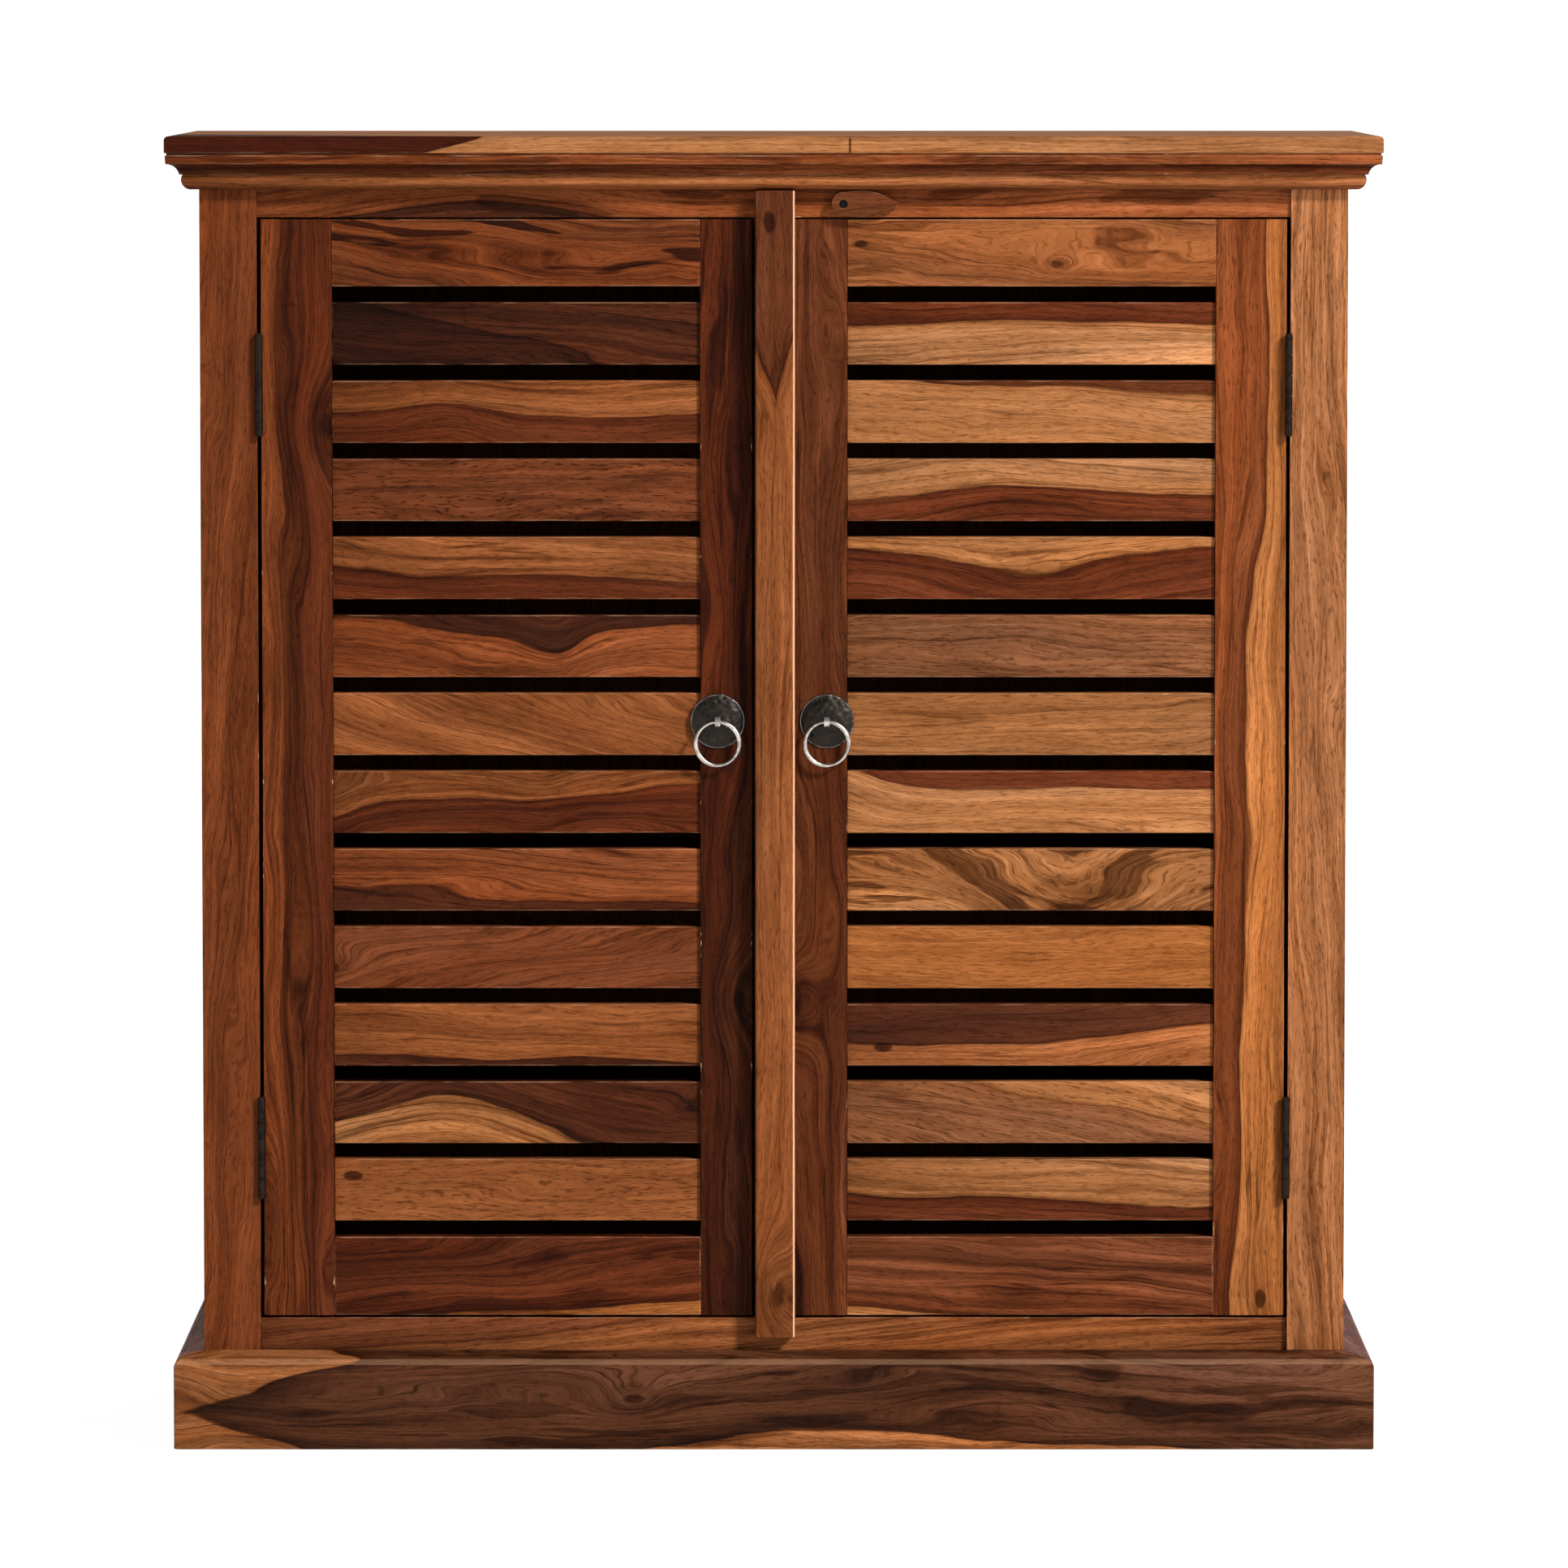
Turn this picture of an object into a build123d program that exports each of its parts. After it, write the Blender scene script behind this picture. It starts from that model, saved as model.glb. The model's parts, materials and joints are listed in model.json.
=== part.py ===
from build123d import *
import os

# A free-standing cabinet with two slatted doors. Millimetres, +Z up, the front faces -Y, and X runs
# to the right of somebody who faces the doors. The origin is on the floor, in the middle of the plan.

# Overall size
CABINET_WIDTH = 914.0           # the top board, side to side
CABINET_DEPTH = 380.0           # the top board, front to back
CABINET_HEIGHT = 992.0

# Cornice: the top board, the crown moulding under it and the bead under the crown
TOP_THICKNESS = 12.6
TOP_OVERHANG = 25.0             # beyond the posts, at the front and at the sides
TOP_EDGE_RADIUS = 3.0
CROWN_HEIGHT = 16.1
CROWN_QUIRK_OUT = 23.2          # distances out from the posts, down the crown's profile
CROWN_FILLET_OUT = 24.4
CROWN_FILLET_LOW_OUT = 23.8
CROWN_COVE_OUT = 22.4
CROWN_COVE_MIDDLE_OUT = 16.4
CROWN_LOW_OUT = 14.2
CROWN_QUIRK_DEEP = 2.0          # height of the quirk under the top board
CROWN_COVE_HEIGHT = 7.8
CROWN_COVE_MIDDLE_HEIGHT = 4.6
BEAD_HEIGHT = 11.3
BEAD_PROJECTION = 12.6
BEAD_TOP_OUT = 11.8
BEAD_LOW_OUT = 6.5
MITRE_REACH = 40.0              # further out than any moulding stands

# Frame
POST_WIDTH = 43.0
POST_DEPTH = 43.0
REAR_OVERHANG = 2.0             # top board behind the rear posts
FRIEZE_BOTTOM = 931.0
FRIEZE_SETBACK = 2.8            # its face, behind the face of the posts
FRIEZE_THICKNESS = 19.8
BOTTOM_RAIL_TOP = 97.6
BOTTOM_RAIL_LOW = 40.0
BOTTOM_RAIL_SETBACK = 4.0
BOTTOM_RAIL_THICKNESS = 18.0
TENON = 20.0                    # length of the frame's tenons
TENON_THICKNESS = 8.0
TENON_SHOULDERS = 12.0          # above and below a tenon, together

# Plinth
PLINTH_THICKNESS = 22.0
PLINTH_FACE_TOP = 61.0
PLINTH_ARRIS = 68.5             # upper end of the rounded shoulder
PLINTH_SHOULDER = 4.0           # how far the shoulder goes in
PLINTH_TOP = 73.5               # where the sloped ledge meets the posts
SHOULDER_MIDDLE_IN = 1.2        # middle of the rounded shoulder: how far in, and below the arris
SHOULDER_MIDDLE_DROP = 2.6

# Side and rear frames
SIDE_RAIL_SETBACK = 4.0
SIDE_RAIL_THICKNESS = 20.0
SIDE_TOP_RAIL_HEIGHT = 86.0
SIDE_BOTTOM_RAIL_TOP = 125.0
SIDE_PANEL_THICKNESS = 10.0
SIDE_PANEL_SETBACK = 10.0
PANEL_TONGUE = 6.0              # how far a panel goes into its grooves
REAR_RAIL_THICKNESS = 20.0
REAR_RAIL_SETBACK = 5.0
REAR_TOP_RAIL_LOW = 905.0
REAR_BOTTOM_RAIL_TOP = 120.0
BACK_PANEL_THICKNESS = 5.0

# Inside
FLOOR_TOP = 94.0
FLOOR_THICKNESS = 15.0
SHELF_THICKNESS = 12.0
SHELF_SIDE_GAP = 0.5
SHELF_REAR_GAP = 1.0            # before the back panel
SHELF_CLEARANCE = 15.0          # between the backs of the doors and the shelves
SHELF_BEHIND_SLATS = (10, 7, 4, 1)      # each shelf lies behind one slat, counted from 0 at the top
SHELF_DROP = 2.0                # its middle, below the middle of that slat
CLEAT_SIZE = 15.0
CLEAT_SETBACK = 3.0             # front end behind the shelf's, and rear end before the rear rail
STOP_BATTEN_LENGTH = 600.0
STOP_BATTEN_DEPTH = 15.0
STOP_BATTEN_LOW = 918.0
STOP_BATTEN_LAP = 20.0          # height of it that lies on the frieze rail

# Doors
DOOR_SETBACK = 2.0              # face of the doors, behind the face of the posts
DOOR_THICKNESS = 20.0
DOOR_TOP = 929.5
DOOR_BOTTOM = 99.4
DOOR_GAP = 3.0                  # between a door and its post, filled by the hinge leaves
MEETING_X = -14.1               # free edge of the right door, and left edge of the cover strip
MEETING_GAP = 2.5
HINGE_STILE_INNER = 333.0       # distance of the inner edges of the hinge stiles from the middle
LOCK_STILE_INNER = 55.3         # the same for the lock stiles
TOP_RAIL_LOW = 879.0
LOW_RAIL_TOP = 159.3
SLATS_PER_DOOR = 12
SLAT_HEIGHT = 47.1
SLAT_THICKNESS = 12.0
SLAT_SETBACK = 3.0              # behind the face of the stiles
SLAT_TENON = 10.0
SLAT_TENON_THICKNESS = 6.0
SLAT_TENON_HEIGHT = 36.0

# Cover strip over the meeting line, fixed to the right door
STRIP_RIGHT = 16.0
STRIP_PROUD = 15.0
STRIP_TOP = 951.4
STRIP_BOTTOM = 84.0
STRIP_CHAMFER = 1.5

# Butt hinges
HINGE_HEIGHTS = (804.5, 227.0)
HINGE_LENGTH = 76.0
KNUCKLES = 5
KNUCKLE_RADIUS = 2.9
KNUCKLE_GAP = 0.4
PIN_RADIUS = 1.4
PIN_CLEARANCE = 0.06            # round the pin in the knuckles that turn on it
PIN_PROUD = 3.0                 # pin axis in front of the face of the posts
PIN_HEAD_RADIUS = 2.4
PIN_HEAD_HEIGHT = 1.5
LEAF_THICKNESS = 1.35
LEAF_START = 3.4                # the flat of a leaf, behind the pin axis
LEAF_END = 21.0
LEAF_SCREW_DEPTH = 13.0         # screw centres, behind the pin axis
LEAF_SCREW_STEP = 26.0
LEAF_SCREW_RADIUS = 1.5
LEAF_SCREW_HEAD = 2.8
LEAF_SCREW_LENGTH = 15.0

# Ring pulls
PULL_HEIGHT = 551.0
PULL_X = {"left": -42.4, "right": 40.0}
ROSE_RADIUS = 20.5
ROSE_RIM = 1.2
ROSE_DOME = 5.0
ROSE_WAIST = 0.55               # share of the radius at which the dome begins to fall
ROSE_WAIST_HEIGHT = 0.72        # share of the dome's height there
ROSE_RIM_DIRECTION = (1, -0.55)
EYE_RADIUS = 4.0
EYE_WIDTH = 4.0
EYE_HOLE_RADIUS = 1.95
EYE_PROUD = 8.5                 # centre of the eye in front of the door's face
BOLT_RADIUS = 2.5
BOLT_START = 1.0                # behind the hole of the eye
BOLT_BEHIND = 6.0               # how far the bolt stands behind the door
NUT_ACROSS_FLATS = 9.0
NUT_THICKNESS = 4.0
RING_RADIUS = 16.5              # to the middle of the wire
RING_WIRE_RADIUS = 1.5

# Turn button on the frieze rail. It is modelled turned aside, with its tail to the right.
BUTTON_X = 52.2
BUTTON_Z = 941.2
BUTTON_HEAD_RADIUS = 8.8
BUTTON_HALF_WIDTH = 10.1
BUTTON_WIDEST = 15.0            # from the pivot, along the tail
BUTTON_LENGTH = 41.6            # from the pivot to the tip
BUTTON_TIP_RADIUS = 1.8
BUTTON_THICKNESS = 8.0
BUTTON_HEAD_DIRECTION = (1, 0.1)        # of its edge where the round head ends
BUTTON_TIP_DIRECTION = (1, -0.55)       # of its edge where the round tip starts
BUTTON_CLEARANCE = 0.6          # between its back and the face of the doors
BUTTON_PAD_RADIUS = 6.0
PAD_CLEARANCE = 0.3             # between the pad on its back and the frieze rail
BUTTON_SINK = 3.0               # depth of the recess for the screw's head
BUTTON_SINK_RADIUS = 3.2
BUTTON_SCREW_RADIUS = 1.9
BUTTON_HOLE_CLEARANCE = 0.06
BUTTON_SCREW_HEAD = 2.9
BUTTON_SCREW_HEAD_HEIGHT = 1.8
BUTTON_SCREW_GRIP = 12.0        # length in the rail

# Places that follow from the sizes above
TOP_LOW = CABINET_HEIGHT - TOP_THICKNESS
CROWN_LOW = TOP_LOW - CROWN_HEIGHT
BEAD_LOW = CROWN_LOW - BEAD_HEIGHT
HALF_WIDTH = CABINET_WIDTH / 2 - TOP_OVERHANG       # outer faces of the posts
OPENING_HALF = HALF_WIDTH - POST_WIDTH              # inner faces of the posts
FRONT = -CABINET_DEPTH / 2 + TOP_OVERHANG           # front faces of the posts
REAR = CABINET_DEPTH / 2 - REAR_OVERHANG            # rear faces of the posts
FRONT_POST_BACK = FRONT + POST_DEPTH
REAR_POST_FRONT = REAR - POST_DEPTH
DOOR_FACE = FRONT + DOOR_SETBACK
DOOR_BACK = DOOR_FACE + DOOR_THICKNESS
DOOR_OUTER = OPENING_HALF - DOOR_GAP
FRIEZE_FACE = FRONT + FRIEZE_SETBACK
FRIEZE_BACK = FRIEZE_FACE + FRIEZE_THICKNESS
REAR_RAIL_BACK = REAR - REAR_RAIL_SETBACK
REAR_RAIL_FRONT = REAR_RAIL_BACK - REAR_RAIL_THICKNESS
BACK_PANEL_FRONT = REAR_RAIL_FRONT + (REAR_RAIL_THICKNESS - BACK_PANEL_THICKNESS) / 2
SHELF_FRONT = DOOR_BACK + SHELF_CLEARANCE
SLAT_GAP = (TOP_RAIL_LOW - LOW_RAIL_TOP - SLATS_PER_DOOR * SLAT_HEIGHT) / (SLATS_PER_DOOR + 1)
HINGE_X = OPENING_HALF - DOOR_GAP / 2
HINGE_Y = FRONT - PIN_PROUD
EYE_Y = DOOR_FACE - EYE_PROUD
SIDES = {"left": -1, "right": 1}


def block(xs, ys, zs):
    """A board between two values of x, of y and of z, given in either order."""
    centre = Pos(sum(xs) / 2, sum(ys) / 2, sum(zs) / 2)
    return centre * Box(abs(xs[1] - xs[0]), abs(ys[1] - ys[0]), abs(zs[1] - zs[0]))


def rod(start, direction, length, radius):
    """A round rod from a point along a direction."""
    return extrude(Plane(start, z_dir=direction) * Circle(radius), length)


def tenoned(xs, ys, zs, along, length, thickness_axis, thickness, height=None):
    """A board with a centred tenon on each end of one axis ("x" or "y")."""
    spans = {"x": xs, "y": ys, "z": zs}
    tongue = dict(spans)
    tongue[along] = (min(spans[along]) - length, max(spans[along]) + length)
    middle = sum(spans[thickness_axis]) / 2
    tongue[thickness_axis] = (middle - thickness / 2, middle + thickness / 2)
    rise = abs(zs[1] - zs[0]) - TENON_SHOULDERS if height is None else height
    tongue["z"] = (sum(zs) / 2 - rise / 2, sum(zs) / 2 + rise / 2)
    return block(xs, ys, zs) + block(tongue["x"], tongue["y"], tongue["z"])


def cut(shape, *tools):
    """Shape, with room cut in it for each of the tools."""
    for tool in tools:
        shape = shape - tool
    return shape


# Cornice and plinth: profiles are drawn as (distance out from the posts, height)

def crown_profile(place):
    """Square fillet with a quirk above it and a hollow cove below it."""
    quirk = TOP_LOW - CROWN_QUIRK_DEEP
    cove_top = place(CROWN_COVE_OUT, CROWN_LOW + CROWN_COVE_HEIGHT)
    cove_middle = place(CROWN_COVE_MIDDLE_OUT, CROWN_LOW + CROWN_COVE_MIDDLE_HEIGHT)
    cove_foot = place(CROWN_LOW_OUT, CROWN_LOW)
    return [
        Polyline(
            cove_foot,
            place(0, CROWN_LOW),
            place(0, TOP_LOW),
            place(CROWN_QUIRK_OUT, TOP_LOW),
            place(CROWN_QUIRK_OUT, quirk),
            place(CROWN_FILLET_OUT, quirk),
            place(CROWN_FILLET_LOW_OUT, CROWN_LOW + CROWN_COVE_HEIGHT),
            cove_top,
        ),
        ThreePointArc(cove_top, cove_middle, cove_foot),
    ]


def bead_profile(place):
    """Strip with a rounded nose."""
    upper = place(BEAD_TOP_OUT, CROWN_LOW)
    lower = place(BEAD_LOW_OUT, BEAD_LOW)
    nose = place(BEAD_PROJECTION, BEAD_LOW + BEAD_HEIGHT / 2)
    return [
        Polyline(lower, place(0, BEAD_LOW), place(0, CROWN_LOW), upper),
        ThreePointArc(upper, nose, lower),
    ]


def plinth_profile(place):
    """Board with a rounded shoulder and a ledge that slopes up to the posts."""
    shoulder = place(PLINTH_THICKNESS, PLINTH_FACE_TOP)
    arris = place(PLINTH_THICKNESS - PLINTH_SHOULDER, PLINTH_ARRIS)
    middle = place(PLINTH_THICKNESS - SHOULDER_MIDDLE_IN, PLINTH_ARRIS - SHOULDER_MIDDLE_DROP)
    return [
        Polyline(arris, place(0, PLINTH_TOP), place(0, 0), place(PLINTH_THICKNESS, 0), shoulder),
        ThreePointArc(shoulder, middle, arris),
    ]


def front_moulding(profile):
    """A moulding along the front, mitred at both ends."""
    reach = HALF_WIDTH + MITRE_REACH
    edges = profile(lambda out, height: (-reach, FRONT - out, height))
    bar = extrude(make_face(edges), amount=2 * reach, dir=(1, 0, 0))
    plan = Polyline(
        (-reach, FRONT - MITRE_REACH),
        (reach, FRONT - MITRE_REACH),
        (HALF_WIDTH, FRONT),
        (-HALF_WIDTH, FRONT),
        close=True,
    )
    return bar & extrude(make_face(plan), amount=CABINET_HEIGHT)


def side_moulding(profile, side):
    """The same moulding along one side, mitred at the front and square at the rear."""
    start = FRONT - MITRE_REACH
    edges = profile(lambda out, height: (side * (HALF_WIDTH + out), start, height))
    bar = extrude(make_face(edges), amount=REAR - start, dir=(0, 1, 0))
    plan = Polyline(
        (side * HALF_WIDTH, FRONT),
        (side * (HALF_WIDTH + MITRE_REACH), FRONT - MITRE_REACH),
        (side * (HALF_WIDTH + MITRE_REACH), REAR),
        (side * HALF_WIDTH, REAR),
        close=True,
    )
    return bar & extrude(make_face(plan), amount=CABINET_HEIGHT)


def wrapped(profile):
    """The front, left and right pieces of one moulding."""
    return {
        "front": front_moulding(profile),
        "left": side_moulding(profile, SIDES["left"]),
        "right": side_moulding(profile, SIDES["right"]),
    }


def top_board():
    board = block(
        (-CABINET_WIDTH / 2, CABINET_WIDTH / 2),
        (-CABINET_DEPTH / 2, CABINET_DEPTH / 2),
        (TOP_LOW, CABINET_HEIGHT),
    )
    seen = board.edges().filter_by(GeomType.LINE).filter_by(
        lambda edge: edge.center().Z > TOP_LOW + 1 and edge.center().Y < CABINET_DEPTH / 2 - 1
        and abs(edge.tangent_at(0.5).Z) < 0.5
    )
    return fillet(seen, TOP_EDGE_RADIUS)


# Frame

def post(side, ys):
    return block((side * OPENING_HALF, side * HALF_WIDTH), ys, (0, TOP_LOW))


def cross_rail(ys, zs):
    """A rail between the left and the right posts."""
    return tenoned((-OPENING_HALF, OPENING_HALF), ys, zs, "x", TENON, "y", TENON_THICKNESS)


def side_rail(side, zs):
    """A rail between the front and the rear post of one side."""
    outer = side * (HALF_WIDTH - SIDE_RAIL_SETBACK)
    inner = outer - side * SIDE_RAIL_THICKNESS
    return tenoned(
        (inner, outer), (FRONT_POST_BACK, REAR_POST_FRONT), zs, "y", TENON, "x", TENON_THICKNESS
    )


def side_panel(side):
    outer = side * (HALF_WIDTH - SIDE_PANEL_SETBACK)
    return block(
        (outer, outer - side * SIDE_PANEL_THICKNESS),
        (FRONT_POST_BACK - PANEL_TONGUE, REAR_POST_FRONT + PANEL_TONGUE),
        (SIDE_BOTTOM_RAIL_TOP - PANEL_TONGUE, TOP_LOW - SIDE_TOP_RAIL_HEIGHT + PANEL_TONGUE),
    )


def back_panel():
    half = OPENING_HALF + PANEL_TONGUE
    return block(
        (-half, half),
        (BACK_PANEL_FRONT, BACK_PANEL_FRONT + BACK_PANEL_THICKNESS),
        (REAR_BOTTOM_RAIL_TOP - PANEL_TONGUE, REAR_TOP_RAIL_LOW + PANEL_TONGUE),
    )


# Inside

def shelf(top, thickness, ys):
    half = OPENING_HALF - SHELF_SIDE_GAP
    return block((-half, half), ys, (top - thickness, top))


def slat_top(index):
    return TOP_RAIL_LOW - SLAT_GAP - index * (SLAT_HEIGHT + SLAT_GAP)


def shelf_tops():
    """Heights of the shelves' upper faces, from the lowest shelf up."""
    drop = SLAT_HEIGHT / 2 - SHELF_THICKNESS / 2 + SHELF_DROP
    return [slat_top(index) - drop for index in SHELF_BEHIND_SLATS]


def cleats():
    """A cleat from post to post on each side, under the floor board and under each shelf."""
    lows = [FLOOR_TOP - FLOOR_THICKNESS] + [top - SHELF_THICKNESS for top in shelf_tops()]
    return [
        block(
            (side * OPENING_HALF, side * (OPENING_HALF - CLEAT_SIZE)),
            (SHELF_FRONT + CLEAT_SETBACK, REAR_RAIL_FRONT - CLEAT_SETBACK),
            (low - CLEAT_SIZE, low),
        )
        for low in lows
        for side in SIDES.values()
    ]


def stop_batten():
    return block(
        (-STOP_BATTEN_LENGTH / 2, STOP_BATTEN_LENGTH / 2),
        (FRIEZE_BACK, FRIEZE_BACK + STOP_BATTEN_DEPTH),
        (STOP_BATTEN_LOW, FRIEZE_BOTTOM + STOP_BATTEN_LAP),
    )


# Doors. Each is described by the x of its outer edge and of its free edge.

def door_edges(name):
    side = SIDES[name]
    free = MEETING_X if name == "right" else MEETING_X - MEETING_GAP
    return {
        "outer": side * DOOR_OUTER,
        "hinge_inner": side * HINGE_STILE_INNER,
        "lock_inner": side * LOCK_STILE_INNER,
        "free": free,
    }


def door_rail(edges, zs):
    """A rail between the stiles of a door."""
    xs = (edges["hinge_inner"], edges["lock_inner"])
    return tenoned(xs, (DOOR_FACE, DOOR_BACK), zs, "x", TENON, "y", TENON_THICKNESS)


def door_slats(edges):
    """Flat slats at an even pitch between the rails, tenoned into the stiles."""
    front = DOOR_FACE + SLAT_SETBACK
    return [
        tenoned(
            (edges["hinge_inner"], edges["lock_inner"]),
            (front, front + SLAT_THICKNESS),
            (slat_top(index) - SLAT_HEIGHT, slat_top(index)),
            "x", SLAT_TENON, "y", SLAT_TENON_THICKNESS, SLAT_TENON_HEIGHT,
        )
        for index in range(SLATS_PER_DOOR)
    ]


def cover_strip():
    """Strip on the right door. It runs up over the frieze rail and down over the bottom rail."""
    strip = block(
        (MEETING_X, STRIP_RIGHT), (DOOR_FACE, DOOR_FACE - STRIP_PROUD), (STRIP_BOTTOM, STRIP_TOP)
    )
    front_edges = strip.edges().filter_by(Axis.Z).group_by(Axis.Y)[0]
    return chamfer(front_edges, STRIP_CHAMFER)


# Butt hinges. A leaf is built at its own side of the pin, toward the door or toward the post.

def knuckle_spans(centre):
    """The z spans of a hinge's knuckles, from the bottom up."""
    height = (HINGE_LENGTH - (KNUCKLES - 1) * KNUCKLE_GAP) / KNUCKLES
    low = centre - HINGE_LENGTH / 2
    return [(low + i * (height + KNUCKLE_GAP), low + i * (height + KNUCKLE_GAP) + height)
            for i in range(KNUCKLES)]


def hinge_leaf(pin_x, centre, direction, owned, bore_radius):
    """One leaf with its knuckles. direction is +1 or -1 along X, owned the indexes of its knuckles."""
    inner = pin_x + direction * (DOOR_GAP / 2 - LEAF_THICKNESS)
    outer = pin_x + direction * DOOR_GAP / 2
    leaf = block(
        (inner, outer),
        (HINGE_Y + LEAF_START, HINGE_Y + LEAF_END),
        (centre - HINGE_LENGTH / 2, centre + HINGE_LENGTH / 2),
    )
    for index in owned:
        low, high = knuckle_spans(centre)[index]
        leaf += Pos(pin_x, HINGE_Y, (low + high) / 2) * Cylinder(KNUCKLE_RADIUS, high - low)
        leaf += block((inner, outer), (HINGE_Y, HINGE_Y + LEAF_START), (low, high))
    return leaf - Pos(pin_x, HINGE_Y, centre) * Cylinder(bore_radius, HINGE_LENGTH + 2)


def leaf_screws(pin_x, centre, direction):
    """Three countersunk screws through a leaf into the wood beside it."""
    screws = []
    face = pin_x + direction * (DOOR_GAP / 2 - LEAF_THICKNESS)
    for step in (-1, 0, 1):
        head = (face, HINGE_Y + LEAF_SCREW_DEPTH, centre + step * LEAF_SCREW_STEP)
        cone = Plane(head, z_dir=(direction, 0, 0)) * Pos(0, 0, LEAF_THICKNESS / 2) * Cone(
            LEAF_SCREW_HEAD, LEAF_SCREW_RADIUS, LEAF_THICKNESS
        )
        screws.append(cone + rod(head, (direction, 0, 0), LEAF_SCREW_LENGTH, LEAF_SCREW_RADIUS))
    return screws


def hinge_pin(pin_x, centre):
    """A pin through the knuckles, with a small round head above them."""
    top = centre + HINGE_LENGTH / 2
    pin = Pos(pin_x, HINGE_Y, centre) * Cylinder(PIN_RADIUS, HINGE_LENGTH)
    head = Pos(pin_x, HINGE_Y, top + PIN_HEAD_HEIGHT / 2) * Cylinder(PIN_HEAD_RADIUS, PIN_HEAD_HEIGHT)
    return pin + head


# Ring pulls

def rose(x):
    """Shallow dome on a thin rim, on the face of a door."""
    top = (0, ROSE_DOME)
    waist = (ROSE_RADIUS * ROSE_WAIST, ROSE_DOME * ROSE_WAIST_HEIGHT)
    rim = (ROSE_RADIUS, ROSE_RIM)
    profile = [
        Polyline(rim, (ROSE_RADIUS, 0), (0, 0), top),
        Spline(top, waist, rim, tangents=((1, 0), ROSE_RIM_DIRECTION)),
    ]
    dome = revolve(make_face(profile), axis=Axis.Y)
    return Pos(x, DOOR_FACE, PULL_HEIGHT) * Rot(180, 0, 0) * dome


def eye_bolt(x):
    """Eye in front of the rose, and the bolt that goes through the door."""
    eye = Pos(x, EYE_Y, PULL_HEIGHT) * Rot(0, 90, 0) * Cylinder(EYE_RADIUS, EYE_WIDTH)
    hole = Pos(x, EYE_Y, PULL_HEIGHT) * Rot(0, 90, 0) * Cylinder(EYE_HOLE_RADIUS, EYE_WIDTH + 2)
    start = (x, EYE_Y + EYE_HOLE_RADIUS + BOLT_START, PULL_HEIGHT)
    length = DOOR_BACK + BOLT_BEHIND - start[1]
    return eye + rod(start, (0, 1, 0), length, BOLT_RADIUS) - hole


def bolt_nut(x):
    hexagon = RegularPolygon(NUT_ACROSS_FLATS / 2, 6, major_radius=False)
    return extrude(Plane((x, DOOR_BACK, PULL_HEIGHT), z_dir=(0, 1, 0)) * hexagon, NUT_THICKNESS)


def pull_ring(x):
    """Ring that hangs in the eye."""
    ring = Rot(90, 0, 0) * Torus(RING_RADIUS, RING_WIRE_RADIUS)
    return Pos(x, EYE_Y, PULL_HEIGHT - RING_RADIUS) * ring


# Turn button

def button_outline():
    """Teardrop round the origin with its tail along +X."""
    tip = BUTTON_LENGTH - BUTTON_TIP_RADIUS
    upper = Spline(
        (0, BUTTON_HEAD_RADIUS),
        (BUTTON_WIDEST, BUTTON_HALF_WIDTH),
        (tip, BUTTON_TIP_RADIUS),
        tangents=(BUTTON_HEAD_DIRECTION, BUTTON_TIP_DIRECTION),
    )
    return make_face([
        upper,
        mirror(upper, about=Plane.XZ),
        ThreePointArc((0, BUTTON_HEAD_RADIUS), (-BUTTON_HEAD_RADIUS, 0), (0, -BUTTON_HEAD_RADIUS)),
        ThreePointArc((tip, BUTTON_TIP_RADIUS), (BUTTON_LENGTH, 0), (tip, -BUTTON_TIP_RADIUS)),
    ])


def turn_button():
    back = DOOR_FACE - BUTTON_CLEARANCE
    front = back - BUTTON_THICKNESS
    plane = Plane((BUTTON_X, back, BUTTON_Z), x_dir=(1, 0, 0), z_dir=(0, -1, 0))
    body = extrude(plane * button_outline(), BUTTON_THICKNESS)
    pad_back = FRIEZE_FACE - PAD_CLEARANCE
    body += rod((BUTTON_X, back, BUTTON_Z), (0, 1, 0), pad_back - back, BUTTON_PAD_RADIUS)
    hole = rod((BUTTON_X, pad_back + 1, BUTTON_Z), (0, -1, 0), 2 * BUTTON_THICKNESS,
               BUTTON_SCREW_RADIUS + BUTTON_HOLE_CLEARANCE)
    sink = rod((BUTTON_X, front + BUTTON_SINK, BUTTON_Z), (0, -1, 0), BUTTON_THICKNESS,
               BUTTON_SINK_RADIUS)
    return body - hole - sink


def turn_button_screw():
    front = DOOR_FACE - BUTTON_CLEARANCE - BUTTON_THICKNESS
    seat = front + BUTTON_SINK - PAD_CLEARANCE
    shank = rod((BUTTON_X, seat, BUTTON_Z), (0, 1, 0), FRIEZE_FACE + BUTTON_SCREW_GRIP - seat,
                BUTTON_SCREW_RADIUS)
    head = rod((BUTTON_X, seat, BUTTON_Z), (0, -1, 0), BUTTON_SCREW_HEAD_HEIGHT, BUTTON_SCREW_HEAD)
    return shank + head


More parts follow.
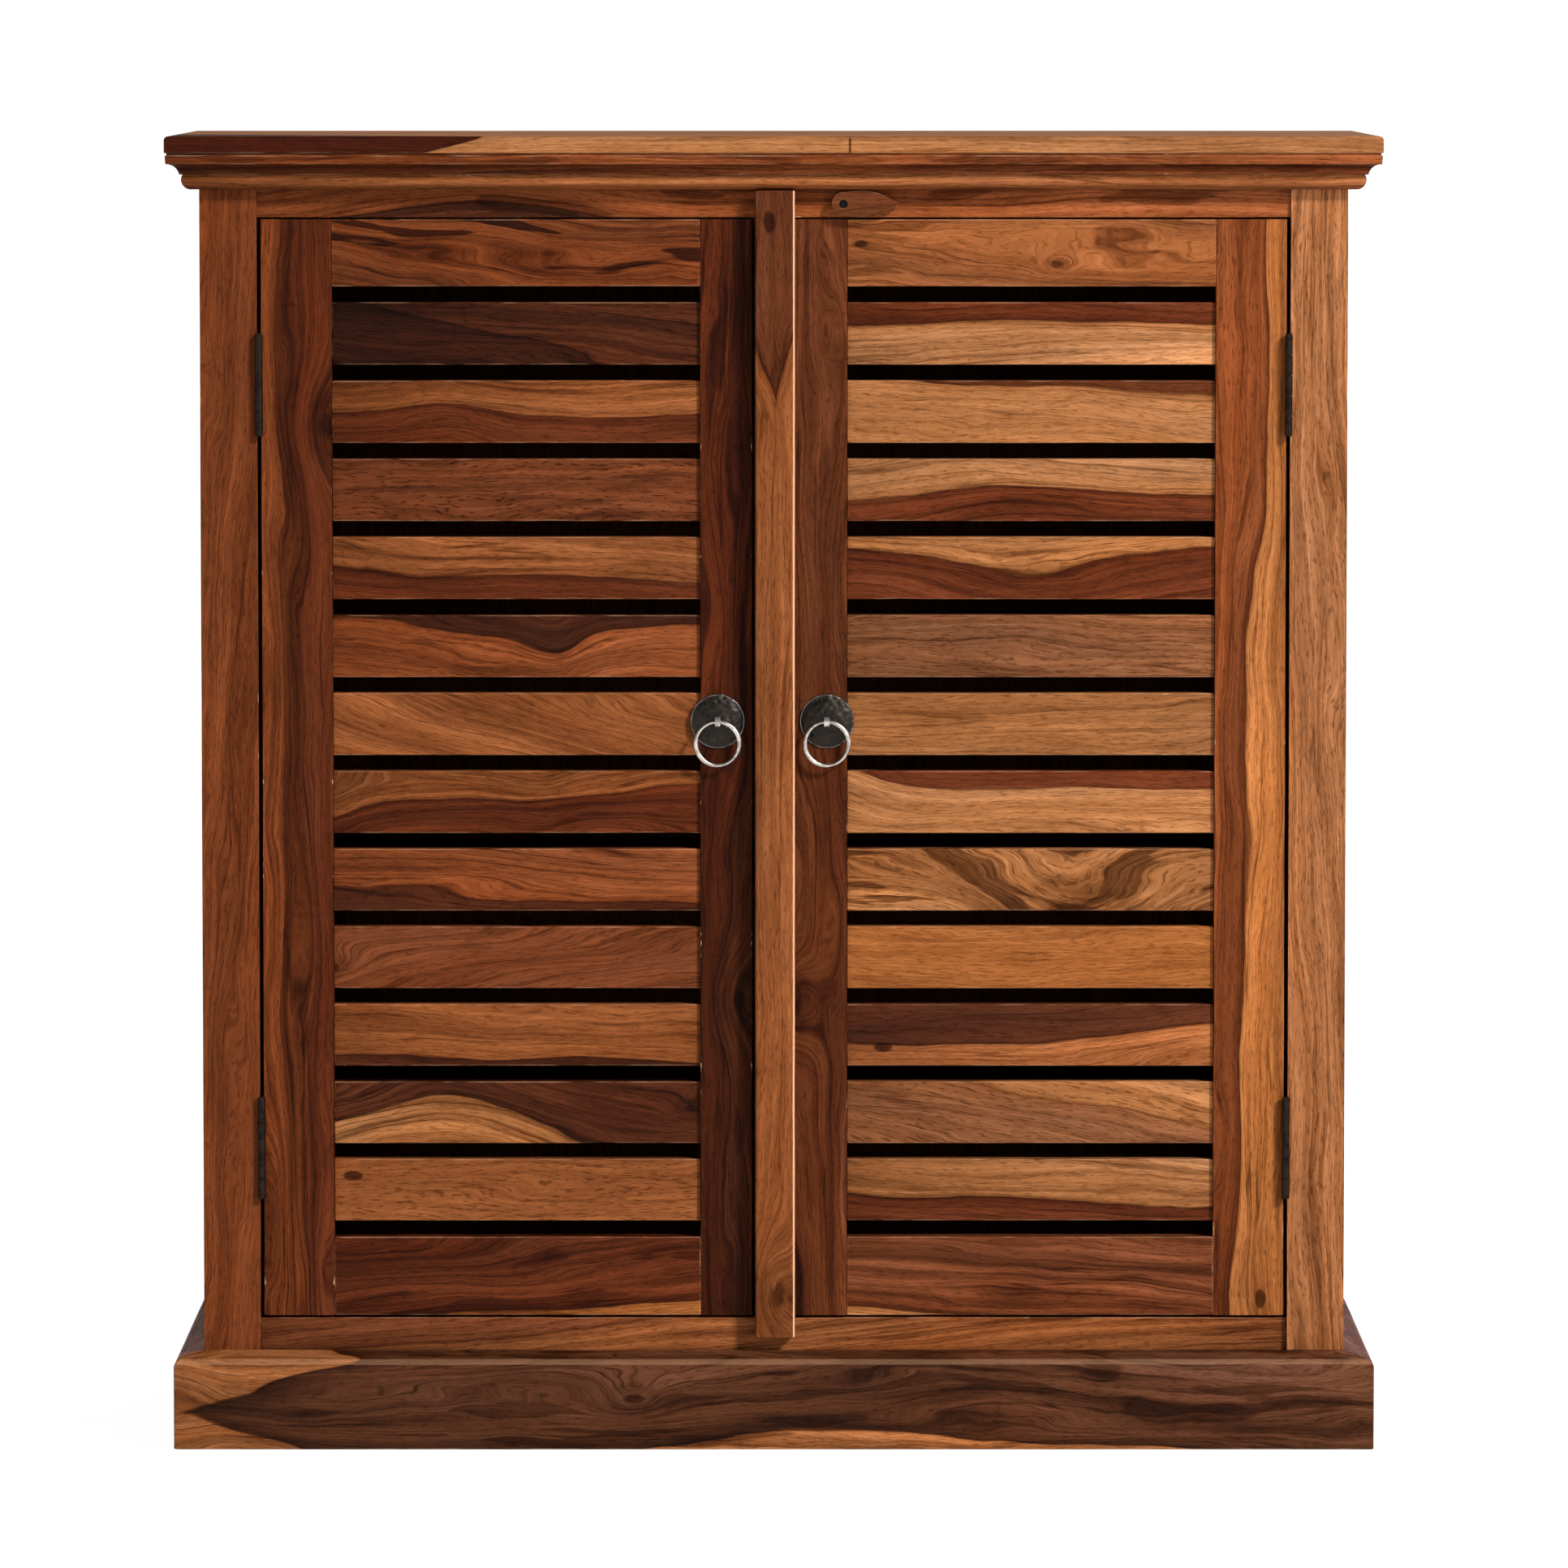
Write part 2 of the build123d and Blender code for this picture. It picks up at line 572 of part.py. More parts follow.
def build_hinges():
    """Leaves, pins and screws of all four hinges, sorted by what they are fixed to."""
    parts = {"frame_hinge_leaves": [], "hinge_pins": [], "frame_hinge_screws": []}
    for name, side in SIDES.items():
        pin_x = side * HINGE_X
        leaves = []
        screws = []
        for centre in HINGE_HEIGHTS:
            frame_leaf = hinge_leaf(pin_x, centre, side, (0, 2, 4), PIN_RADIUS)
            door_leaf = hinge_leaf(pin_x, centre, -side, (1, 3), PIN_RADIUS + PIN_CLEARANCE)
            frame_screws = leaf_screws(pin_x, centre, side)
            door_screws = leaf_screws(pin_x, centre, -side)
            parts["frame_hinge_leaves"].append(cut(frame_leaf, *frame_screws))
            parts["frame_hinge_screws"] += frame_screws
            parts["hinge_pins"].append(hinge_pin(pin_x, centre))
            leaves.append(cut(door_leaf, *door_screws))
            screws += door_screws
        parts[f"{name}_door_hinge_leaves"] = leaves
        parts[f"{name}_door_hinge_screws"] = screws
    return parts


def build_door(name, screws):
    """The wood and the pull of one door."""
    edges = door_edges(name)
    x = PULL_X[name]
    height = (DOOR_BOTTOM, DOOR_TOP)
    depth = (DOOR_FACE, DOOR_BACK)
    top_rail = door_rail(edges, (TOP_RAIL_LOW, DOOR_TOP))
    bottom_rail = door_rail(edges, (DOOR_BOTTOM, LOW_RAIL_TOP))
    slats = door_slats(edges)
    bolt = eye_bolt(x)
    hinge_stile = block((edges["outer"], edges["hinge_inner"]), depth, height)
    lock_stile = block((edges["lock_inner"], edges["free"]), depth, height)
    return {
        f"{name}_door_top_rail": top_rail,
        f"{name}_door_bottom_rail": bottom_rail,
        f"{name}_door_slats": slats,
        f"{name}_door_hinge_stile": cut(hinge_stile, top_rail, bottom_rail, *slats, *screws),
        f"{name}_door_lock_stile": cut(lock_stile, top_rail, bottom_rail, *slats, bolt),
        f"{name}_pull_rose": rose(x) - bolt,
        f"{name}_pull_eye_bolt": bolt,
        f"{name}_pull_nut": bolt_nut(x) - bolt,
        f"{name}_pull_ring": pull_ring(x),
    }


def build_frame(screws):
    """Posts, rails and panels, with each post and rail cut for what is let into it."""
    parts = {}
    button_screw = turn_button_screw()
    back = back_panel()
    parts["frieze_rail"] = cross_rail((FRIEZE_FACE, FRIEZE_BACK), (FRIEZE_BOTTOM, TOP_LOW)) - button_screw
    face = FRONT + BOTTOM_RAIL_SETBACK
    parts["bottom_front_rail"] = cross_rail(
        (face, face + BOTTOM_RAIL_THICKNESS), (BOTTOM_RAIL_LOW, BOTTOM_RAIL_TOP)
    )
    rear = (REAR_RAIL_FRONT, REAR_RAIL_BACK)
    parts["rear_top_rail"] = cross_rail(rear, (REAR_TOP_RAIL_LOW, TOP_LOW)) - back
    parts["rear_bottom_rail"] = cross_rail(rear, (BOTTOM_RAIL_LOW, REAR_BOTTOM_RAIL_TOP)) - back
    cross = list(parts.values())
    for name, side in SIDES.items():
        panel = side_panel(side)
        top_rail = side_rail(side, (TOP_LOW - SIDE_TOP_RAIL_HEIGHT, TOP_LOW))
        bottom_rail = side_rail(side, (BOTTOM_RAIL_LOW, SIDE_BOTTOM_RAIL_TOP))
        let_in = [*cross, top_rail, bottom_rail, panel, back]
        front_post = post(side, (FRONT, FRONT_POST_BACK))
        rear_post = post(side, (REAR_POST_FRONT, REAR))
        parts[f"front_{name}_post"] = cut(front_post, *let_in, *screws)
        parts[f"rear_{name}_post"] = cut(rear_post, *let_in)
        parts[f"{name}_side_panel"] = panel
        parts[f"{name}_side_top_rail"] = top_rail - panel
        parts[f"{name}_side_bottom_rail"] = bottom_rail - panel
    parts["back_panel"] = back
    parts["turn_button_screw"] = button_screw
    return parts


def build_inside():
    """Floor, shelves, cleats and the doors' stop."""
    front = FRONT + BOTTOM_RAIL_SETBACK + BOTTOM_RAIL_THICKNESS
    reach = (SHELF_FRONT, BACK_PANEL_FRONT - SHELF_REAR_GAP)
    parts = {"floor_board": shelf(FLOOR_TOP, FLOOR_THICKNESS, (front, REAR_RAIL_FRONT))}
    for number, top in enumerate(shelf_tops(), start=1):
        parts[f"shelf_{number}"] = shelf(top, SHELF_THICKNESS, reach)
    parts["shelf_cleats"] = cleats()
    parts["door_stop_batten"] = stop_batten()
    return parts


def build_cabinet():
    """Every node of the cabinet, by name. A list holds the separate solids of one node."""
    parts = {"top_board": top_board()}
    for name, profile in (("crown", crown_profile), ("bead", bead_profile), ("plinth", plinth_profile)):
        for place, piece in wrapped(profile).items():
            parts[f"{name}_{place}"] = piece
    hinges = build_hinges()
    parts.update(hinges)
    parts.update(build_frame(hinges["frame_hinge_screws"]))
    parts.update(build_inside())
    for name in SIDES:
        parts.update(build_door(name, hinges[f"{name}_door_hinge_screws"]))
    parts["right_door_cover_strip"] = cover_strip()
    parts["turn_button"] = turn_button()
    return parts


os.makedirs("parts", exist_ok=True)
for node, shape in build_cabinet().items():
    solids = shape if isinstance(shape, list) else [shape]
    export_step(Compound([solid for piece in solids for solid in piece.solids()]), f"parts/{node}.step")
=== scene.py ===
"""The looks of a two-door shoe cabinet in sheesham wood, with forged ring pulls and butt hinges."""

import json
import math

import bmesh
import bpy
from mathutils import Matrix, Vector, noise


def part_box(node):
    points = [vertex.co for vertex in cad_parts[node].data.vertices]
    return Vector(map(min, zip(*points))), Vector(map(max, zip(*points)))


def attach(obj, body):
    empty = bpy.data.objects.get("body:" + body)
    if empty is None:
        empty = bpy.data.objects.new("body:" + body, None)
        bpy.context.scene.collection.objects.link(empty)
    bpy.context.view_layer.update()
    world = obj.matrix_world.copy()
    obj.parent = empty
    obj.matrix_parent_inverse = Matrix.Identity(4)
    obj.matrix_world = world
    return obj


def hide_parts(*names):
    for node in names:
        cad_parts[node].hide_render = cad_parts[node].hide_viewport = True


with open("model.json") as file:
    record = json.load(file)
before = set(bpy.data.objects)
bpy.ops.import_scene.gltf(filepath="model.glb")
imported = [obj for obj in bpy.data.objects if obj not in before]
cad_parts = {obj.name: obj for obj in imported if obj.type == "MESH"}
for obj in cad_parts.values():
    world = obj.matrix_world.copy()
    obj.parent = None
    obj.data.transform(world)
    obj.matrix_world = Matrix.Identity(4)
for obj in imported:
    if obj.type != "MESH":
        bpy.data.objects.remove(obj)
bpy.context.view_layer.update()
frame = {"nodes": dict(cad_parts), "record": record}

# Camera and picture, in metres. The cabinet's middle sits a little left of the picture's middle.
CAMERA_DISTANCE = 7.4
CAMERA_HEIGHT = 1.08
VIEW_WIDTH = 1.1845
VIEW_CENTRE_X = 0.0077
VIEW_CENTRE_Z = 0.5035
SENSOR = 36.0

# Stage: how strongly the floor shines of itself, how much light it sends back, and how strongly the
# backdrop above the horizon and the dimmer ceiling shine.
FLOOR_GLOW = 0.94
FLOOR_GREY = 0.16
BACKDROP = 1.05
CEILING = 0.06

# Boards: how they are cut up, worn and rounded, in metres, and how often a metre the edges and faces
# wander and nicks come, with the noise above which an edge is nicked. Seeds tell the boards apart.
WELD = 1e-5
STATION = 0.018
ARRIS = 0.0009
WOBBLE = 0.00028
FACE_WOBBLE = 0.00012
NICK = 0.0028
EDGE_RATE = 14
FACE_RATE = 9
NICK_RATE = 55
NICKED_ABOVE = 0.62
SHARP = math.radians(32)
SEED_STEP = 3.7
BUTTON_SEED = 77

# Pulls, in metres: the rose's hammered dome and the ring that is bent from bar.
ROSE_STEPS = 120
ROSE_RINGS = 26
# The rose's outer rim rings are painted bright: rubbed metal and a painted highlight.
ROSE_RUBBED_AND_HIGHLIT_RINGS = 5
ROSE_RIM = 0.0012
ROSE_HOLE = 0.0024
ROSE_SHOULDER = 0.955
ROSE_UNEVEN = 0.012
BLOW = 0.0045
BLOW_DEPTH = 0.0007
RING_STEPS = 96
WIRE_STEPS = 20
RING_UNEVEN = 0.0006
RING_SWELL = 0.28
RING_THICK = math.radians(60)

# Worked metal: spots per metre of its clouds, grit and hammer blows, and the light bare metal sends back,
# which also paints the highlight on the rose's rim.
METAL_CLOUDS = (190, 190, 190)
METAL_GRIT = (1500, 1500, 1500)
METAL_BLOWS = (260, 260, 260)
BARE_AND_HIGHLIT_METAL = (0.62, 0.60, 0.57)

# Wood colours as they look in even light, red, green and blue from 0 to 255.
TAN = (190, 128, 82)
HONEY = (166, 100, 58)
GOLD = (184, 114, 62)
ORANGE = (148, 80, 43)
DUSTY = (156, 100, 66)
SANDAL = (168, 106, 64)
BROWN = (124, 67, 38)
RUSSET = (122, 60, 32)
OXBLOOD = (112, 54, 30)
UMBER = (100, 52, 31)
PLUM = (76, 38, 22)
MAHOGANY = (78, 30, 12)
COFFEE = (126, 70, 42)
WALNUT = (102, 62, 42)
# Raw wood, and the colour of the painted highlight on lit slants.
RAW_WOOD_AND_HIGHLIGHT = (214, 164, 126)

# Noises in the wood: spots per metre along, across and through the board, the shift that tells one noise
# from another, its detail and roughness, and the window of it that counts. The first six lie still, and
# the others follow the grain.
NOISES = {
    "drift": ((5, 26, 26), 0.0, 1.0, 0.5, None),
    "ripple": ((22, 70, 70), 0.0, 1.0, 0.5, None),
    "patches": ((7, 34, 34), 11.7, 3.0, 0.6, None),
    "mottle": ((18, 60, 60), 21.0, 4.0, 0.7, None),
    "rub": ((40, 160, 160), 5.0, 2.0, 0.5, (0.35, 0.70)),
    "sliver": ((38, 0, 0), 41.0, 3.0, 0.65, (0.57, 0.78)),
    "broad": ((1.3, 46, 20), 2.9, 2.0, 0.5, (0.30, 0.70)),
    "bands": ((2.4, 190, 60), 0.0, 3.0, 0.6, (0.28, 0.72)),
    "narrow": ((9, 640, 260), 1.3, 2.0, 0.6, (0.25, 0.75)),
    "lines": ((2.0, 80, 24), 7.3, 2.0, 0.5, None),
    "thin_lines": ((3.0, 210, 60), 9.1, 2.0, 0.5, None),
    "lenses": ((11, 85, 40), 31.0, 2.0, 0.4, (0.585, 0.625)),
    "fibres": ((70, 1300, 900), 0.0, 3.0, 0.7, None),
    "pores": ((120, 1050, 900), 3.1, 1.0, 0.5, (0.58, 0.67)),
    "smoke": ((5, 40, 30), 17.0, 3.0, 0.62, (0.50, 0.78)),
    "warmth": ((3, 30, 24), 51.0, 2.0, 0.5, None),
}

# How much darker each trait makes the wood where it is strongest.
DARKER = {
    "broad": 0.30,
    "bands": 0.40,
    "narrow": 0.24,
    "smoke": 0.42,
    "inked": 0.50,
    "scribed": 0.32,
    "lenses": 0.85,
    "edge": 0.60,
    "pores": 0.34,
    "core": 0.75,
    "halo": 0.30,
    "spot": 0.80,
    "end_grain": 0.35,
}
FIBRE_CONTRAST = 1.25
MOTTLE_CONTRAST = 0.8
OVERALL_TONE = 0.92
# Boards inside the cabinet are painted darker by this tone, as shade.
INDOOR_PAINTED_SHADE = 0.6
DARKEST = 0.02
TINY = 0.0001

# Where the end grain darkens and where painted shade darkens what faces down, as parts of the direction
# that a surface faces.
FACES_ENDWAYS = (0.7, 0.9)
FACES_DOWN = (-0.15, -0.75)

# How far the grain wanders, how sharp the edge between two woods is and how wide its dark line is, and
# how deep the grain's relief is, in metres. The two kinds of lines are parts of their noises.
DRIFT_SIZE = 0.030
RIPPLE_SIZE = 0.005
EDGE_BLUR = 0.0035
EDGE_CRISP = 0.0005
EDGE_LINE = 0.0010
GRAIN_RELIEF = 0.00045
INK_LINE = 0.026
SCRIBED_LINE = 0.035

# Knots and spots, measured in their own sizes: the share by which distances along the grain count, how
# knots push the grain, where their dark core fades and their halo lies, where spots fade, and how ragged
# all three are.
KNOT_SHORTER = 0.6
KNOT_PULL = 1.3
KNOT_PULL_FALL = -0.8
KNOT_CORE = (0.42, 0.10)
KNOT_HALO_AT = 0.55
KNOT_HALO_WIDTH = 0.4
SPOT_SHORTER = 0.5
SPOT_EDGE = (1.05, 0.65)
CORE_RAGGED = 0.9
HALO_RAGGED = 0.6
SPOT_RAGGED = 1.2

# Raw wood on the edges: shares of it in the rubbed line and in the slivers, which are SLIVER_WIDTH metres
# wide at most, and the shares of a painted highlight in raw-wood colour on the slants of the cover strip and
# the plinth that face the light.
RUBBED_SHARE = 0.45
SLIVER_SHARE = 0.55
SLIVER_WIDTH = 0.0026
SLANT_LEVEL = 0.4
STRIP_SLANT_HIGHLIGHT = 0.85
PLINTH_SLANT_HIGHLIGHT = 0.14

# A line between two woods that is this far out never touches its board.
OFF = 9.0


def linear(colour):
    """A 0 to 255 screen colour as the light that a shader works with."""
    shares = [part / 255 for part in colour]
    return [c / 12.92 if c <= 0.04045 else ((c + 0.055) / 1.055) ** 2.4 for c in shares]


# ---------------------------------------------------------------- figure of each board


def line(offset, slope=0.0, arches=()):
    """Where two woods meet: across the board at offset, rising by slope, with up to two arches.
    An arch is its height, its place along the board and its length. All are shares of half the board."""
    padded = [*arches, (0, 0, 1), (0, 0, 1)][:2]
    return {"offset": offset, "slope": slope, "arches": padded}


def figure(base, alt=None, below=None, above=None, flow=0.0, streak=1.0, wave=1.0, pores=1.0,
           knot=(0, 0, 0), spot=(0, 0, 0), tone=1.0, painted_light_lean=0.0, swell=0.0, ink=0.0, worn=0.5,
           rim=(0, 6, 0.4), tilt=0.45, follow=1.0, under_shade=0.0):
    """What one board's wood looks like: alt wood lies below one line and above another, in base wood.
    It is brighter by lean, a painted light gradient, towards its +X end, and by swell in the middle. Its rim
    is a darker edge along the lines: on the alt side for 0 and the base side for 1, so many mm wide, and so
    dark. The grain of its edges tilts through the board, and follows the lines by a share. What faces down
    is darkened by grime, a painted shade."""
    return {
        "base": base,
        "alt": alt or base,
        "below": below or line(-OFF, flow),
        "above": above or line(OFF, flow),
        "look": (streak, wave, pores),
        "light": (tone, painted_light_lean, swell),
        "habit": (tilt, follow, under_shade),
        "rim": (rim[0], rim[1] / 1000, rim[2]),
        "knot": (knot[0], knot[1], knot[2] / 1000),
        "spot": (spot[0], spot[1], spot[2] / 1000),
        "ink": ink,
        "worn": worn,
    }


# Each board's lean paints light on it: a gradient that is brighter towards its +X end.
FIGURES = {
    "left_door_slat_01": figure(UMBER, PLUM, below=line(-0.1, -1.9), flow=-0.6, streak=1.5, wave=1.0,
                                tone=0.84, painted_light_lean=0.3, follow=0.3, pores=1.4),
    "left_door_slat_02": figure(HONEY, RUSSET, below=line(-0.15, 0, [(0.42, -0.39, 0.26)]), streak=1.3,
                                tone=0.82, painted_light_lean=0.4),
    "left_door_slat_03": figure(BROWN, RUSSET, flow=0.05, streak=0.9, pores=1.9, ink=0.35, tone=0.93,
                                painted_light_lean=0.17),
    "left_door_slat_04": figure(HONEY, RUSSET, below=line(-0.1, -0.4), streak=1.2, tone=0.97, painted_light_lean=0.2),
    "left_door_slat_05": figure(ORANGE, PLUM, above=line(0.85, 0, [(-0.85, -0.05, 0.5), (-0.35, 0.2, 0.15)]),
                                streak=1.0, tone=1.04, painted_light_lean=0.32),
    "left_door_slat_06": figure(HONEY, BROWN, flow=-2.0, streak=0.9, wave=0.8, tone=0.86, painted_light_lean=0.06),
    "left_door_slat_07": figure(HONEY, RUSSET, below=line(0.3, 0.4, [(-0.6, -1, 0.2), (-0.3, 0.1, 0.2)]),
                                streak=1.3, wave=1.4, tone=0.77, painted_light_lean=0.17),
    "left_door_slat_08": figure(ORANGE, UMBER, below=line(-0.5, -0.4), streak=1.4, tone=1.1, painted_light_lean=0.36),
    "left_door_slat_09": figure(BROWN, RUSSET, flow=1.3, streak=0.9, knot=(-0.95, -0.3, 12), tone=1.07),
    "left_door_slat_10": figure(HONEY, UMBER, below=line(-0.72, -0.35), streak=1.1, tone=0.82),
    "left_door_slat_11": figure(UMBER, TAN, below=line(-1.4, 0, [(2.2, -0.41, 0.66)]), streak=1.5,
                                knot=(0.88, 0.15, 11), painted_light_lean=-0.06, rim=(1, 5, 0.45), follow=0.8),
    "left_door_slat_12": figure(HONEY, ORANGE, flow=0.1, streak=0.6, pores=1.5, spot=(-0.84, 0.45, 4),
                                tone=0.76),
    "right_door_slat_01": figure(TAN, RUSSET, above=line(0.55, 0.12), streak=1.1, tone=1.32, painted_light_lean=0.26),
    "right_door_slat_02": figure(TAN, BROWN, above=line(1.1, 0, [(-0.6, 1, 0.5)]), streak=0.7, tone=0.9,
                                 painted_light_lean=0.08),
    "right_door_slat_03": figure(TAN, RUSSET, below=line(-0.25, 0.1, [(0.45, -0.15, 0.5)]), streak=1.1,
                                 tone=1.09, painted_light_lean=0.19),
    "right_door_slat_04": figure(TAN, RUSSET, below=line(0.95, 0, [(-0.9, 0.05, 0.6)]), streak=1.1,
                                 tone=1.1, painted_light_lean=0.24),
    "right_door_slat_05": figure(DUSTY, BROWN, flow=-0.1, streak=1.1, pores=1.3, tone=0.91, painted_light_lean=0.28),
    "right_door_slat_06": figure(TAN, HONEY, flow=0.05, streak=0.9, tone=0.81, painted_light_lean=0.1),
    "right_door_slat_07": figure(TAN, RUSSET, above=line(0.62, 0.05, [(0.6, -1, 0.25)]), streak=0.8,
                                 tone=1.1, painted_light_lean=0.12),
    "right_door_slat_08": figure(TAN, BROWN, flow=-0.3, streak=1.2, wave=1.1, pores=1.4, ink=0.8,
                                 knot=(0.2, -1.15, 42), tone=1.04),
    "right_door_slat_09": figure(GOLD, OXBLOOD, flow=0.08, below=line(-1.6, 0.1), streak=0.6, tone=0.86,
                                 painted_light_lean=0.11),
    "right_door_slat_10": figure(HONEY, UMBER, above=line(0.02, 0.1, [(0.5, 1, 0.5)]), streak=1.0,
                                 tone=1.08, painted_light_lean=0.28, spot=(-0.75, -0.42, 4)),
    "right_door_slat_11": figure(DUSTY, TAN, above=line(0.6, -0.9), flow=0.1, streak=0.9, pores=1.4,
                                 tone=1.07, painted_light_lean=0.22),
    "right_door_slat_12": figure(TAN, RUSSET, below=line(-0.15, -0.32), streak=1.2, tone=1.0, painted_light_lean=0.32,
                                 rim=(0, 5, 0.6)),
    "left_door_top_rail": figure(ORANGE, UMBER, flow=-0.6, streak=1.5, wave=1.7, ink=1.0, tone=0.72),
    "left_door_bottom_rail": figure(RUSSET, GOLD, below=line(-0.73, 0.58), streak=1.8, wave=1.0, tone=0.9,
                                    painted_light_lean=0.5, ink=0.6, rim=(1, 5, 0.5)),
    "left_door_hinge_stile": figure(RUSSET, ORANGE, below=line(-0.15, -0.25), streak=1.8, wave=1.5,
                                    knot=(0.62, 0.9, 22), worn=0.9, tone=0.82, painted_light_lean=-0.10),
    "left_door_lock_stile": figure(BROWN, RUSSET, below=line(0.15, 0.35), streak=1.6, wave=1.5, tone=0.52,
                                   painted_light_lean=0.1, knot=(-0.42, 0.45, 18), worn=0.6, ink=0.5),
    "right_door_top_rail": figure(HONEY, ORANGE, flow=-0.3, streak=1.0, wave=1.6, ink=0.5,
                                  spot=(-0.81, 0.28, 3), tone=1.07, swell=0.03, knot=(0.12, -0.35, 8),
                                  painted_light_lean=-0.1),
    "right_door_bottom_rail": figure(BROWN, TAN, below=line(-0.82, -0.42), streak=1.7, wave=1.0, tone=1.62,
                                     rim=(1, 5, 0.5)),
    "right_door_lock_stile": figure(BROWN, UMBER, below=line(-0.55, -0.3), streak=1.6, wave=1.3,
                                    knot=(-0.43, -0.15, 20), tone=1.12, painted_light_lean=0.08, swell=-0.2),
    "right_door_hinge_stile": figure(GOLD, ORANGE, below=line(-0.12, 0.28, [(-0.35, -0.95, 0.16)]),
                                     streak=1.3, wave=1.3, spot=(-0.97, 0.35, 4), swell=0.11, tone=1.12,
                                     painted_light_lean=0.08, rim=(0, 8, 0.5)),
    "right_door_cover_strip": figure(COFFEE, HONEY, below=line(0.25, 0, [(-2.6, 0.88, 0.186)]),
                                     above=line(-0.7, 0, [(2.6, 0.88, 0.186)]), streak=0.9, wave=0.7,
                                     swell=0.34, knot=(-0.925, 0.1, 22), spot=(0.945, -0.3, 5), worn=0.15,
                                     tone=0.66, painted_light_lean=0.15, follow=0.5, rim=(1, 4, 0.6)),
    "front_left_post": figure(ORANGE, BROWN, flow=1.5, streak=1.0, wave=1.2, tone=0.73),
    "front_right_post": figure(SANDAL, HONEY, flow=-0.8, streak=1.1, pores=1.3, tone=1.50, painted_light_lean=0.26),
    "rear_left_post": figure(BROWN, RUSSET, flow=0.8, streak=0.9),
    "rear_right_post": figure(ORANGE, RUSSET, flow=-0.6, streak=0.9),
    "frieze_rail": figure(ORANGE, UMBER, below=line(-1.2, 0, [(0.9, -0.55, 0.28)]), streak=1.3, wave=0.6,
                          tone=1.32, painted_light_lean=0.42, ink=0.6, rim=(0, 4, 0.5)),
    "bottom_front_rail": figure(BROWN, HONEY, below=line(1.25, 1.3), streak=1.5, wave=0.6, tone=1.02,
                                painted_light_lean=0.04, swell=0.45),
    "top_board": figure(TAN, MAHOGANY, below=line(-1.65, -1.2, [(0.10, -0.85, 0.12)]), streak=0.9,
                        wave=0.9, worn=0.3, painted_light_lean=0.05, spot=(0.125, -1, 0.6), tilt=-2.3, follow=0.0,
                        rim=(0, 4, 0.3)),
    # grime paints shade on the mouldings' faces that face down.
    "crown_front": figure(ORANGE, UMBER, flow=0.3, streak=1.6, wave=0.6, tone=1.03, painted_light_lean=0.58, swell=0.38,
                          under_shade=0.55, ink=0.5),
    "crown_left": figure(ORANGE, RUSSET, flow=0.2, streak=1.2, under_shade=0.45),
    "crown_right": figure(RUSSET, ORANGE, flow=0.2, streak=1.2, under_shade=0.45),
    "bead_front": figure(HONEY, ORANGE, flow=0.2, streak=1.1, wave=0.6, tone=1.22, painted_light_lean=0.52, swell=0.2,
                         under_shade=0.4),
    "bead_left": figure(ORANGE, HONEY, flow=0.1, streak=0.8, under_shade=0.4),
    "bead_right": figure(HONEY, ORANGE, flow=0.1, streak=0.8, under_shade=0.4),
    "plinth_front": figure(WALNUT, SANDAL, below=line(-1.1, 0, [(1.0, -1, 0.15), (0.78, 0.15, 0.38)]),
                           above=line(3.9, 4.1), streak=1.5, wave=1.4, knot=(-0.235, 0.06, 15), tone=1.45,
                           painted_light_lean=0.36, ink=0.6, follow=0.12, rim=(1, 22, 0.75)),
    "plinth_left": figure(ORANGE, UMBER, below=line(-0.5, 0.5), streak=1.2),
    "plinth_right": figure(RUSSET, ORANGE, below=line(-0.6, -0.3), streak=1.2),
    "left_side_panel": figure(ORANGE, RUSSET, below=line(-0.45, 0.15, [(0.5, 0.2, 0.6)]),
                              above=line(0.55, -0.2, [(-0.3, -0.4, 0.5)]), streak=1.0, wave=1.8),
    "right_side_panel": figure(HONEY, RUSSET, below=line(-0.6, 0.2, [(0.4, -0.3, 0.6)]),
                               above=line(0.5, 0.1, [(-0.3, 0.5, 0.5)]), streak=1.0, wave=1.8),
    "turn_button_piece": figure(COFFEE, UMBER, flow=0.3, streak=0.7, pores=1.0, tone=0.78),
    # The back panel's low tone is painted shade inside the cabinet.
    "back_panel": figure(DUSTY, BROWN, streak=0.6, wave=2.0, tone=0.42),
}
PLAIN_WOODS = [(ORANGE, RUSSET), (BROWN, RUSSET), (HONEY, ORANGE), (ORANGE, BROWN), (DUSTY, BROWN)]


def figure_of(name, seed):
    """The board's own figure, or a plain one picked by its seed: painted darker indoors as shade, where no
    sun reaches.
    """
    if name in FIGURES:
        return FIGURES[name]
    base, alt = PLAIN_WOODS[seed % len(PLAIN_WOODS)]
    indoors = name.startswith(("shelf", "door_stop", "floor_board"))
    boundary = line(-0.5 + 0.2 * (seed % 3), 0.3 * (seed % 4) - 0.4)
    return figure(base, alt, below=boundary, tone=INDOOR_PAINTED_SHADE if indoors else 1.0)


# ---------------------------------------------------------------- formulas as shader nodes


